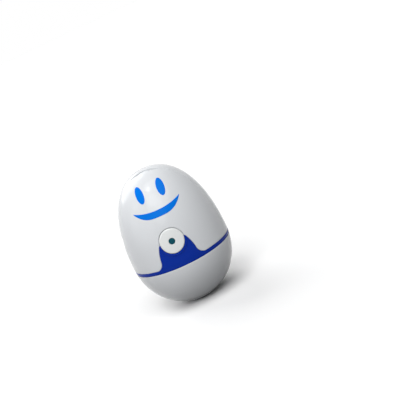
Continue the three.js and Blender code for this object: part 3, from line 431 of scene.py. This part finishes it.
def print_region(loop):
    def region(p):
        x, y, z = np.moveaxis(p, -1, 0)
        return in_front(y, inside_loop(x, z, loop))

    return region


# ---------------------------------------------------------------- meshes from the map


def contours(values, level, origin):
    """Closed lines in the map where a grid of values crosses a level."""
    above = values > level
    mixed = above[:-1, :-1] * 1 + above[1:, :-1] + above[:-1, 1:] + above[1:, 1:]
    links = {}
    for i, j in zip(*np.nonzero((mixed > 0) & (mixed < 4))):
        corners = ((i, j), (i + 1, j), (i + 1, j + 1), (i, j + 1))
        cut = []
        for k in range(4):
            one, two = corners[k], corners[(k + 1) % 4]
            if above[one] != above[two]:
                cut.append((min(one, two), max(one, two)))
        for k in range(0, len(cut), 2):
            links.setdefault(cut[k], []).append(cut[k + 1])
            links.setdefault(cut[k + 1], []).append(cut[k])
    lines = []
    while links:
        line, here = [], next(iter(links))
        while here in links:
            onward = links[here]
            line.append(here)
            following = onward.pop()
            if not onward:
                del links[here]
            if following in links:
                links[following].remove(here)
                if not links[following]:
                    del links[following]
                    line.append(following)
                    break
            here = following
        points = []
        for one, two in line:
            share = (level - values[one]) / (values[two] - values[one])
            points.append([origin + GRID_STEP * (one[k] + share * (two[k] - one[k]))
                           for k in (0, 1)])
        if len(points) > SHORTEST_LINE:
            lines.append(np.array(points))
    return lines


def respaced(line, chart, spacing, inset):
    """The same closed line with even steps along the skin."""
    closed = np.concatenate([line, line[:1]])
    skin_line = chart.point(closed[:, 0], closed[:, 1], inset)
    step = np.linalg.norm(np.diff(skin_line, axis=0), axis=1)
    way = np.concatenate([[0], np.cumsum(step)])
    count = max(int(round(way[-1] / spacing)), FEWEST_POINTS)
    at = np.linspace(0, way[-1], count, endpoint=False)
    return np.stack([np.interp(at, way, closed[:, k]) for k in (0, 1)], 1)


def sampled(values, points, origin):
    """Grid values between the grid's places."""
    place = (points - origin) / GRID_STEP
    i = np.clip(np.floor(place[:, 0]).astype(int), 0, values.shape[0] - 2)
    j = np.clip(np.floor(place[:, 1]).astype(int), 0, values.shape[1] - 2)
    u, v = place[:, 0] - i, place[:, 1] - j
    return ((1 - u) * (1 - v) * values[i, j] + u * (1 - v) * values[i + 1, j]
            + (1 - u) * v * values[i, j + 1] + u * v * values[i + 1, j + 1])


def linked(name, data):
    made = bpy.data.objects.new(name, data)
    bpy.context.scene.collection.objects.link(made)
    return made


def mesh_object(name, points, faces, normals=None):
    """A smooth object from points in millimetres; rows of normals that are 0 are left open."""
    mesh = bpy.data.meshes.new(name)
    mesh.from_pydata([tuple(p) for p in np.asarray(points) * MM], [], faces)
    mesh.polygons.foreach_set("use_smooth", [True] * len(mesh.polygons))
    mesh.update()
    if normals is not None:
        found = np.zeros(len(mesh.vertices) * 3, np.float32)
        mesh.vertex_normals.foreach_get("vector", found)
        found = found.reshape(-1, 3)
        given = np.linalg.norm(normals, axis=1) > 0.5
        found[given] = normals[given]
        mesh.normals_split_custom_set_from_vertices([tuple(n) for n in found])
    return linked(name, mesh)


def inner_dots(chart, values, origin, edge, coarse):
    """Rows of evenly spread map places inside a region, and how deep each lies."""
    rows = np.arange(-chart.reach, chart.reach, coarse * math.sqrt(3) / 2)
    for k, row in enumerate(rows):
        x = np.arange(-chart.reach + (k % 2) * coarse / 2, chart.reach, coarse)
        dots = np.stack([x, np.full(len(x), row)], 1)
        depth = sampled(values, dots, origin)
        keep = depth > edge + DOT_MARGIN
        yield dots[keep], depth[keep]


def triangulated(flat, level, borders, values, origin, edge):
    """Triangles between map places inside a region, with its borders kept as edges."""
    edges = [(int(loop[k]), int(loop[(k + 1) % len(loop)]))
             for loop in borders for k in range(len(loop))]
    out = delaunay_2d_cdt([Vector(p) for p in flat], edges, [], 0, SAME_PLACE, True)
    place = np.array([tuple(v) for v in out[0]])
    source = [ids[0] if ids else -1 for ids in out[3]]
    depth = np.array([level[s] if s >= 0 else 0.0 for s in source])
    triangles = np.array([list(f) for f in out[2] if len(f) == 3])
    middle = place[triangles].mean(1)
    triangles = triangles[sampled(values, middle, origin) > SLIVER * edge]
    number = {s: k for k, s in enumerate(source) if s >= 0}
    return place, depth, triangles, [[number[i] for i in loop if i in number] for loop in borders]


def skin(name, chart, region, wall=WALL, edge=SHELL_EDGE, inset=0.0, lift=None, extra=None,
         spacing=SHELL_SPACING, coarse=SHELL_COARSE):
    """A shell that follows the egg where region is above 0, its outer edges rounded by edge."""
    count = int(chart.reach / GRID_STEP) + 3
    origin = -count * GRID_STEP
    axis = origin + GRID_STEP * np.arange(2 * count + 1)
    a, b = np.meshgrid(axis, axis, indexing="ij")
    values = region(chart.point(a, b, inset))
    values = np.minimum(values, chart.reach - np.hypot(a, b))
    points, levels, borders = [], [], []
    for depth in [share * edge for share in EDGE_RINGS] + [edge + FLAT_RING]:
        for line in contours(values, depth, origin):
            ring = respaced(line, chart, spacing, inset)
            if depth == 0:
                borders.append(np.arange(len(ring)) + sum(len(p) for p in points))
            points.append(ring)
            levels.append(np.full(len(ring), depth))
    if extra is not None:
        points.append(extra)
        levels.append(sampled(values, extra, origin))
    for dots, depth in inner_dots(chart, values, origin, edge, coarse):
        points.append(dots)
        levels.append(depth)
    place, depth, triangles, borders = triangulated(
        np.concatenate(points), np.concatenate(levels), borders, values, origin, edge)
    if chart.flip:
        triangles = triangles[:, ::-1]
    return shell_mesh(name, chart, place, depth, triangles, borders, wall, edge, inset, lift)


def shell_mesh(name, chart, place, depth, triangles, borders, wall, edge, inset, lift):
    """The outer and inner side of a skin, joined along its borders."""
    a, b = place[:, 0], place[:, 1]
    surface = chart.point(a, b, inset)
    normal = chart.normal(a, b)
    rise = lift(surface) if lift else np.zeros(len(a))
    short = np.clip(edge - depth, 0, edge)
    drop = edge - np.sqrt(np.maximum(edge * edge - short * short, 0))
    thick = wall(surface) if callable(wall) else np.full(len(a), float(wall))
    outer = surface - normal * (drop - rise)[:, None]
    inner = surface - normal * thick[:, None]
    plain_part = (short <= 0) & ((rise <= 0) | (rise >= RIM_RISE))
    points = [outer, inner]
    normals = [normal * plain_part[:, None], -normal]
    faces = [tuple(int(i) for i in t) for t in triangles]
    count = len(a)
    faces += [tuple(int(i) + count for i in t[::-1]) for t in triangles]
    used = set(np.unique(triangles).tolist())
    total = 2 * count
    for loop in borders:
        loop = [i for i in loop if i in used]
        size = len(loop)
        if size < 3:
            continue
        points.append(surface[loop] - normal[loop] * thick[loop][:, None])
        normals.append(np.zeros((size, 3)))
        forward = loop_is_forward(triangles, loop)
        for k in range(size):
            m = (k + 1) % size
            quad = (loop[k], total + k, total + m, loop[m])
            faces.append(quad if forward else quad[::-1])
        total += size
    return mesh_object(name, np.concatenate(points), faces, np.concatenate(normals))


def loop_is_forward(triangles, loop, looked_at=60):
    """Whether the border runs the same way round as the triangles beside it."""
    wanted = {(loop[k], loop[k + 1]) for k in range(min(len(loop) - 1, looked_at))}
    backward = {(two, one) for one, two in wanted}
    same = opposite = 0
    for t in triangles[np.isin(triangles, loop[:looked_at + 1]).sum(1) >= 2]:
        for k in range(3):
            pair = (int(t[k]), int(t[(k + 1) % 3]))
            same += pair in wanted
            opposite += pair in backward
    return same >= opposite


# ---------------------------------------------------------------- other helpers


def finished(piece, body, slot, *replaced):
    piece.data.materials.clear()
    piece.data.materials.append(looks[slot])
    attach(piece, body)
    if replaced:
        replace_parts(piece, *replaced)


def rounded(piece, width, segments, angle):
    """Rounds the edges that are sharper than an angle."""
    rounding = piece.modifiers.new("rounding", "BEVEL")
    rounding.width = width * MM
    rounding.segments = segments
    rounding.limit_method = "ANGLE"
    rounding.angle_limit = math.radians(angle)
    graph = bpy.context.evaluated_depsgraph_get()
    piece.data = bpy.data.meshes.new_from_object(piece.evaluated_get(graph))
    piece.modifiers.clear()


def smooth(piece, angle):
    """Shades a piece smoothly but for the edges that are sharper than an angle."""
    mesh = piece.data
    mesh.polygons.foreach_set("use_smooth", [True] * len(mesh.polygons))
    mesh.set_sharp_from_angle(angle=math.radians(angle))


def polished(node):
    """A welded copy of a CAD node with small rounded edges and smooth curves, in its place."""
    work = bmesh.new()
    work.from_mesh(nodes[node].data)
    bmesh.ops.remove_doubles(work, verts=work.verts, dist=SAME_PLACE)
    bmesh.ops.dissolve_limit(work, angle_limit=math.radians(FLAT_ANGLE), verts=work.verts,
                             edges=work.edges)
    mesh = bpy.data.meshes.new(node + "_look")
    work.to_mesh(mesh)
    work.free()
    piece = linked(node + "_look", mesh)
    rounded(piece, NODE_BEVEL, 2, NODE_ANGLE)
    smooth(piece, NODE_ANGLE)
    finished(piece, body_of[node], slot_of[node], node)


def ring_faces(rings, sides):
    """Four-sided faces between closed rings of points."""
    return [(k * sides + s, k * sides + (s + 1) % sides,
             (k + 1) * sides + (s + 1) % sides, (k + 1) * sides + s)
            for k in range(rings - 1) for s in range(sides)]


def turned(name, profile, axis, place, sides):
    """A body turned from (radius, way) pairs round an axis, way counted along it from place."""
    turn = np.linspace(0, 2 * math.pi, sides, endpoint=False)
    rings = [np.stack([radius * np.cos(turn), radius * np.sin(turn), np.full(sides, way)], 1)
             for radius, way in profile]
    swap = {"z": (0, 1, 2), "y": (0, 2, 1), "x": (2, 0, 1)}[axis]
    faces = ring_faces(len(rings), sides)
    if axis == "y":
        faces = [face[::-1] for face in faces]
    piece = mesh_object(name, np.concatenate(rings)[:, swap] + np.array(place), faces)
    smooth(piece, SHARP_ANGLE)
    return piece


def loft(name, rings, bevel=0.0):
    """A closed body through rings of points, with flat ends, and rounded edges with a bevel."""
    size, count = len(rings[0]), len(rings)
    faces = ring_faces(count, size)
    faces += [tuple(range(size)), tuple((count - 1) * size + s for s in range(size))]
    piece = mesh_object(name, np.concatenate([np.asarray(r, float) for r in rings]), faces)
    work = bmesh.new()
    work.from_mesh(piece.data)
    bmesh.ops.recalc_face_normals(work, faces=work.faces)
    work.to_mesh(piece.data)
    work.free()
    if bevel:
        rounded(piece, bevel, 3, BOX_ANGLE)
    smooth(piece, SHARP_ANGLE)
    return piece


def box(name, low, high):
    (x0, y0, z0), (x1, y1, z1) = low, high
    rings = [[(x0, y0, z), (x1, y0, z), (x1, y1, z), (x0, y1, z)] for z in (z0, z1)]
    return loft(name, rings, BOX_BEVEL)


# ---------------------------------------------------------------- materials


CLOUD_SCALE = 40
CLOUD_SPREAD = 0.01
RELIEF_DEPTH = 0.0002

looks = {}


def plain(name, color, roughness, **sockets):
    made = bpy.data.materials.new(name)
    made.use_nodes = True
    shader = made.node_tree.nodes["Principled BSDF"]
    shader.inputs["Base Color"].default_value = (*color, 1)
    shader.inputs["Roughness"].default_value = roughness
    for key, value in sockets.items():
        shader.inputs[key.replace("_", " ")].default_value = value
    return made, shader


def noise(tree, place, scale, detail):
    cloud = tree.nodes.new("ShaderNodeTexNoise")
    cloud.inputs["Scale"].default_value = scale
    cloud.inputs["Detail"].default_value = detail
    tree.links.new(place.outputs["Object"], cloud.inputs["Vector"])
    return cloud


def blend(tree, share, one, two):
    """The colour that goes from one to two as share goes from 0 to 1."""
    mix = tree.nodes.new("ShaderNodeMix")
    mix.data_type = "RGBA"
    mix.inputs[6].default_value = (*one, 1)
    mix.inputs[7].default_value = (*two, 1)
    tree.links.new(share, mix.inputs[0])
    return mix.outputs[2]


def make(name, color, rough, bump=0.01, bump_scale=60, **sockets):
    """A material with fine moulded variation of its colour, gloss and relief."""
    made, shader = plain(name, color, rough[0], **sockets)
    tree = made.node_tree
    place = tree.nodes.new("ShaderNodeTexCoord")
    cloud = noise(tree, place, CLOUD_SCALE, 3)
    tint = blend(tree, cloud.outputs["Fac"], [c * (1 - CLOUD_SPREAD) for c in color],
                 [min(c * (1 + CLOUD_SPREAD), 1) for c in color])
    tree.links.new(tint, shader.inputs["Base Color"])
    gloss = tree.nodes.new("ShaderNodeMapRange")
    gloss.inputs["To Min"].default_value, gloss.inputs["To Max"].default_value = rough
    tree.links.new(cloud.outputs["Fac"], gloss.inputs["Value"])
    tree.links.new(gloss.outputs["Result"], shader.inputs["Roughness"])
    grain = noise(tree, place, bump_scale, 2)
    relief = tree.nodes.new("ShaderNodeBump")
    relief.inputs["Strength"].default_value = bump
    relief.inputs["Distance"].default_value = RELIEF_DEPTH
    tree.links.new(grain.outputs["Fac"], relief.inputs["Height"])
    tree.links.new(relief.outputs["Normal"], shader.inputs["Normal"])
    looks[name] = made


make("white_shell", (0.74, 0.76, 0.785), (0.12, 0.17), Specular_IOR_Level=0.3)
make("blue_plastic", (0.0, 0.029, 0.36), (0.1, 0.15), Specular_IOR_Level=0.08)
make("face_print", (0.0, 0.185, 0.79), (0.25, 0.33), Specular_IOR_Level=0.05)
make("button_plastic", (0.84, 0.86, 0.855), (0.2, 0.3), bump=0.02)
make("window_plastic", (0.0, 0.085, 0.12), (0.08, 0.12), Specular_IOR_Level=0.1)
make("inner_plastic", (0.7, 0.73, 0.76), (0.38, 0.5), bump=0.05, bump_scale=900)
make("reflector_metal", (0.85, 0.86, 0.88), (0.12, 0.22), Metallic=1.0, bump=0.03)
make("steel", (0.62, 0.63, 0.65), (0.25, 0.38), Metallic=1.0, bump=0.05, bump_scale=500)
make("rubber", (0.12, 0.13, 0.145), (0.6, 0.75), bump=0.15, bump_scale=1200)
make("quartz", (0.9, 0.95, 1.0), (0.02, 0.05), Transmission_Weight=0.9, IOR=1.46)
make("circuit_board", (0.02, 0.12, 0.05), (0.3, 0.45), bump=0.1, bump_scale=400)
make("black_plastic", (0.012, 0.012, 0.014), (0.3, 0.42), bump=0.08, bump_scale=700)
make("cell_can", (0.05, 0.055, 0.07), (0.22, 0.3), Metallic=0.4)
make("ballast_iron", (0.1, 0.1, 0.105), (0.5, 0.7), Metallic=0.8, bump=0.4, bump_scale=500)

# ---------------------------------------------------------------- shells that show

top = Chart(True, BAND_LOW - MAP_SPARE)
bottom = Chart(False, BOWL_HIGH + MAP_SPARE)


def rim_points():
    """Map places along the collar's raised rim, so that its slope is drawn cleanly."""
    turn = np.linspace(0, 2 * math.pi, RIM_SIDES, endpoint=False)
    rings = []
    for offset in RIM_RINGS:
        radius = COLLAR_RIM + offset
        x, z = radius * np.cos(turn), BUTTON_HEIGHT + radius * np.sin(turn)
        keep = z > BAND_INSIDE
        r = np.interp(z[keep], top.line[::-1, 1], top.line[::-1, 0])
        rings.append(top.locate(x[keep], -np.sqrt(r * r - x[keep] ** 2), z[keep]))
    places = np.concatenate(rings)
    depth = band_region(top.point(places[:, 0], places[:, 1]))
    return places[depth > RIM_MARGIN]


finished(skin("door_skin", top, door_region, wall=door_wall), "door", "white_shell", "face_door")
finished(skin("rear_skin", top, rear_region), "base", "white_shell", "rear_shell")
finished(skin("band_skin", top, band_region, edge=BAND_EDGE, lift=band_lift, extra=rim_points()),
         "base", "blue_plastic", "blue_band")
finished(skin("bowl_skin", bottom, bowl_region), "base", "white_shell", "lower_bowl")
finished(skin("hatch_skin", bottom, hatch_region), "hatch", "white_shell", "battery_hatch")
finished(skin("liner_skin", top, liner_region, wall=LINER_WALL, edge=LINER_EDGE,
              inset=WALL + GAP), "base", "inner_plastic", "chamber_liner")
for name, loop in (("eye_left", eye_loop(-1)), ("eye_right", eye_loop(1)),
                   ("smile", smile_loop())):
    shape = skin(name + "_skin", top, print_region(loop), wall=PRINT_DEPTH, edge=PRINT_EDGE,
                 inset=-PRINT_PROUD, spacing=PRINT_SPACING, coarse=PRINT_COARSE)
    finished(shape, "door", "face_print", name)


def egg_front(x, z, proud):
    """Where the egg's skin, swelled by proud, lies at a place in the front view."""
    line = top.line[::-1]
    radius = np.interp(z, line[:, 1] + line[:, 3] * proud, line[:, 0] + line[:, 2] * proud)
    return -np.sqrt(np.maximum(radius * radius - x * x, 0))


def round_front(name, inner, outer, edge_in, edge_out, proud, back):
    """A disc or ring round the button's axis whose face follows the egg, with a skirt behind."""
    turn = np.linspace(0, 2 * math.pi, DISC_SIDES, endpoint=False)
    steps = 1 - np.cos(np.linspace(0, math.pi / 2, DISC_EDGE_STEPS))
    radii = list(outer - edge_out * steps)
    radii += list(np.linspace(outer - edge_out, inner + edge_in, DISC_FACE_STEPS)[1:-1])
    radii += list((inner + edge_in * steps)[::-1]) if inner > 0 else DISC_CENTRE
    rings = []
    for radius in radii:
        x, z = radius * np.cos(turn), BUTTON_HEIGHT + radius * np.sin(turn)
        short = max(edge_out - (outer - radius), 0)
        drop = edge_out - math.sqrt(max(edge_out ** 2 - short ** 2, 0))
        if inner > 0:
            short = max(edge_in - (radius - inner), 0)
            drop += edge_in - math.sqrt(max(edge_in ** 2 - short ** 2, 0))
        rings.append(np.stack([x, egg_front(x, z, proud) + drop, z], 1))
    rings.insert(0, rings[0] * [1, 0, 1] + [0, back, 0])
    if inner > 0:
        rings.append(rings[-1] * [1, 0, 1] + [0, back, 0])
    faces = ring_faces(len(rings), DISC_SIDES)
    if inner <= 0:
        last = (len(rings) - 1) * DISC_SIDES
        faces.append(tuple(last + s for s in range(DISC_SIDES)))
    piece = mesh_object(name, np.concatenate(rings), faces)
    smooth(piece, DISC_ANGLE)
    return piece


finished(round_front("button_skin", WINDOW_RADIUS + WINDOW_GAP, BUTTON_RADIUS, WINDOW_GAP,
                     BUTTON_EDGE, BUTTON_PROUD, BUTTON_SKIRT_BACK),
         "button", "button_plastic", "button_cap")
finished(round_front("window_skin", 0, WINDOW_RADIUS, 0, WINDOW_EDGE, WINDOW_PROUD, WINDOW_BACK),
         "button", "window_plastic", "indicator_window")

# ---------------------------------------------------------------- what the shells carry inside


def white_part(piece, body):
    finished(piece, body, "white_shell")


def trough_ring(x):
    """The trough's section at x: a quarter ring under the hinge with a riser into the shell."""
    inner = crown_height(SEAM) - HINGE_HEIGHT + RUN_GAP
    outer = inner + TROUGH_WALL
    turn = np.linspace(0, math.pi / 2, TROUGH_STEPS[0])
    below, above = ([(x, SEAM + r * math.sin(t), HINGE_HEIGHT - r * math.cos(t)) for t in turn]
                    for r in (inner, outer))
    riser = [(x, SEAM + r, float(crown_height(math.hypot(x, SEAM + r))) - 2 * GAP)
             for r in (inner, outer)]
    return below + riser + above[::-1]


def barrel(name, start, end):
    shoulder = BARREL_RADIUS - BARREL_RIM
    profile = [(PIN_BORE, start), (shoulder, start), (BARREL_RADIUS, start + BARREL_RIM),
               (BARREL_RADIUS, end - BARREL_RIM), (shoulder, end), (PIN_BORE, end),
               (PIN_BORE, start)]
    return turned(name, profile, "x", (0, SEAM, HINGE_HEIGHT), SMALL_SIDES)


trough_places = np.linspace(-TROUGH_HALF, TROUGH_HALF, TROUGH_STEPS[1])
white_part(loft("hinge_trough", [trough_ring(x) for x in trough_places]), "base")
for side, word in ((-1, "left"), (1, "right")):
    start, end = sorted((side * LUG_ENDS[0], side * LUG_ENDS[1]))
    white_part(barrel(f"hinge_lug_{word}", start, end), "base")
    white_part(box(f"hinge_lug_web_{word}",
                   (start, SEAM + LUG_WEB_SPAN[0], HINGE_HEIGHT - LUG_WEB_DEPTH),
                   (end, SEAM + LUG_WEB_SPAN[1], HINGE_HEIGHT - PIN_BORE)), "base")
white_part(barrel("door_knuckle", -KNUCKLE_HALF, KNUCKLE_HALF), "door")
white_part(box("door_knuckle_web",
               (-KNUCKLE_HALF, SEAM - BARREL_RADIUS, HINGE_HEIGHT + KNUCKLE_WEB_RISE[0]),
               (KNUCKLE_HALF, SEAM - KNUCKLE_WEB_GAP, HINGE_HEIGHT + KNUCKLE_WEB_RISE[1])),
           "door")


def magnet_block(side, word):
    """The block in the door's lower corner, from its flat back to the door's skin."""
    low, high = MAGNET_BLOCK_SPAN
    middle = side * MAGNET_SIDE
    rings = []
    for x in np.linspace(middle - MAGNET_BLOCK_HALF, middle + MAGNET_BLOCK_HALF, BLOCK_STEPS):
        front = [float(egg_front(x, z, -WALL / 2)) for z in (low, high)]
        rings.append([(x, front[0], low), (x, MAGNET_BLOCK_BACK, low),
                      (x, MAGNET_BLOCK_BACK, high), (x, front[1], high)])
    white_part(loft(f"magnet_block_{word}", rings), "door")


def rib_ring(y):
    """The boss rib's section at y: from inside the bowl's wall up to the boss."""
    rise = WAIST * (1 - (y / EGG_RADIUS) ** BOWL_POWER) ** (1 / BOWL_POWER)
    low, high = WAIST - rise + WALL / 2, EAR_HEIGHT - RIB_DROP
    return [(-RIB_HALF, y, low), (RIB_HALF, y, low), (RIB_HALF, y, high), (-RIB_HALF, y, high)]


magnet_block(-1, "left")
magnet_block(1, "right")
white_part(turned("bowl_floor", [(AXIS, FLOOR_SPAN[1]), (FLOOR_RADIUS, FLOOR_SPAN[1]),
                                 (FLOOR_RADIUS, FLOOR_SPAN[0]), (AXIS, FLOOR_SPAN[0])],
                  "z", (0, 0, 0), FLOOR_SIDES), "base")
white_part(turned("hatch_boss", [(SCREW_HOLE, BOSS_SPAN[1]), (SCREW_HOLE, BOSS_SPAN[0]),
                                 (BOSS_RADIUS, BOSS_SPAN[0]), (BOSS_RADIUS, BOSS_SPAN[1]),
                                 (SCREW_HOLE, BOSS_SPAN[1])],
                  "y", (0, 0, EAR_HEIGHT), SMALL_SIDES), "base")
rib_places = np.linspace(*BOSS_SPAN, BLOCK_STEPS)
white_part(loft("hatch_boss_rib", [rib_ring(y) for y in rib_places]), "base")
white_part(turned("hatch_pad", [(SCREW_HOLE, HATCH_SEAT), (SCREW_HOLE, HATCH_PAD_FRONT),
                                (HATCH_PAD, HATCH_PAD_FRONT), (HATCH_PAD, HATCH_PAD_BACK[0]),
                                (SCREW_RECESS, HATCH_PAD_BACK[1]), (SCREW_RECESS, HATCH_SEAT),
                                (SCREW_HOLE, HATCH_SEAT)],
                  "y", (0, 0, EAR_HEIGHT), PAD_SIDES), "hatch")

# ---------------------------------------------------------------- the rest of the frame

shown = {n for o in bpy.data.objects for n in o.get("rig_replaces", [])}
for node in sorted(nodes):
    if node not in shown:
        polished(node)

# ---------------------------------------------------------------- stage, light and camera

FLOOR_SIZE = 60
FLOOR_TONE = 0.97
FLOOR_BOUNCE = 0.18
WORLD_TINT = (0.95, 0.975, 1.0)
WORLD_LEVEL = 0.04

# Lamps: the direction they shine from, their strength, and the softness of their edge in degrees
SUNS = {
    "key": ((0.1, -0.5, 0.86), 1.92, 60),
    "front": ((-0.12, -0.8, 0.55), 0.75, 40),
    "left": ((-0.85, -0.45, 0.2), 0.75, 60),
    "behind": ((-0.45, 0.62, 0.62), 1.4, 50),
    "sparkle": ((-0.126, -0.354, 0.9), 0.2, 9),
}

# Camera fitted to the photograph: angles, distance in metres, focal length in image pixels, and
# the pixel of the point on the egg's axis at its waist
CAMERA_TURN = 0.093
CAMERA_RISE = math.radians(13.855)
CAMERA_ROLL = math.radians(-25.792)
CAMERA_DISTANCE = 0.75
FOCAL_PIXELS = 1006.2
IMAGE_SIZE = 416
AIM_PIXEL = (180.04, 246.60)
SENSOR = 36.0


def seen_directly(tree):
    """Above 0 for what the camera sees, also by way of a mirror or through glass."""
    path = tree.nodes.new("ShaderNodeLightPath")
    seen = path.outputs["Is Camera Ray"]
    for name in ("Is Glossy Ray", "Is Transmission Ray"):
        either = tree.nodes.new("ShaderNodeMath")
        either.operation = "MAXIMUM"
        tree.links.new(seen, either.inputs[0])
        tree.links.new(path.outputs[name], either.inputs[1])
        seen = either.outputs[0]
    return seen


def stage_floor():
    """A floor that looks white but throws little light back on the object."""
    bpy.ops.mesh.primitive_plane_add(size=FLOOR_SIZE, location=(0, 0, 0))
    floor = bpy.context.object
    floor.name = "floor"
    made, shader = plain("floor", [FLOOR_TONE] * 3, 0.7, Specular_IOR_Level=0.1)
    tree = made.node_tree
    tone = blend(tree, seen_directly(tree), [FLOOR_BOUNCE] * 3, [FLOOR_TONE] * 3)
    tree.links.new(tone, shader.inputs["Base Color"])
    floor.data.materials.append(made)


def world_light():
    """Weak even light before a white background."""
    world = bpy.data.worlds.new("studio")
    bpy.context.scene.world = world
    world.use_nodes = True
    tree = world.node_tree
    back = tree.nodes["Background"]
    back.inputs["Color"].default_value = (*WORLD_TINT, 1)
    back.inputs["Strength"].default_value = WORLD_LEVEL
    white = tree.nodes.new("ShaderNodeBackground")
    white.inputs["Color"].default_value = (1, 1, 1, 1)
    mix = tree.nodes.new("ShaderNodeMixShader")
    tree.links.new(seen_directly(tree), mix.inputs[0])
    tree.links.new(back.outputs[0], mix.inputs[1])
    tree.links.new(white.outputs[0], mix.inputs[2])
    tree.links.new(mix.outputs[0], tree.nodes["World Output"].inputs["Surface"])


def photo_camera():
    turn, rise, roll = CAMERA_TURN, CAMERA_RISE, CAMERA_ROLL
    toward = Vector((math.sin(turn) * math.cos(rise), -math.cos(turn) * math.cos(rise),
                     math.sin(rise)))
    right = Vector((math.cos(turn), math.sin(turn), 0))
    up = Vector((-math.sin(turn) * math.sin(rise), math.cos(turn) * math.sin(rise),
                 math.cos(rise)))
    rolled_right = math.cos(roll) * right + math.sin(roll) * up
    rolled_up = -math.sin(roll) * right + math.cos(roll) * up
    level = Matrix((rolled_right, rolled_up, toward))
    half = IMAGE_SIZE / 2
    sight = Vector(((AIM_PIXEL[0] - half) / FOCAL_PIXELS, (half - AIM_PIXEL[1]) / FOCAL_PIXELS,
                    -1)).normalized()
    aimed = Vector((0, 0, -1)).rotation_difference(sight).to_matrix() @ level
    data = bpy.data.cameras.new("photo_camera")
    data.sensor_fit = "HORIZONTAL"
    data.sensor_width = SENSOR
    data.lens = FOCAL_PIXELS / IMAGE_SIZE * SENSOR
    data.clip_start, data.clip_end = 0.01, 50
    camera = linked("photo_camera", data)
    place = Vector((0, 0, WAIST * MM)) + CAMERA_DISTANCE * toward
    camera.matrix_world = Matrix.Translation(place) @ aimed.transposed().to_4x4()
    bpy.context.scene.camera = camera


stage_floor()
for name, (toward, strength, softness) in SUNS.items():
    lamp = bpy.data.lights.new(name, "SUN")
    lamp.energy = strength
    lamp.angle = math.radians(softness)
    linked(name, lamp).rotation_euler = Vector(toward).to_track_quat("Z", "Y").to_euler()
world_light()
photo_camera()
bpy.context.scene.view_settings.view_transform = "Standard"
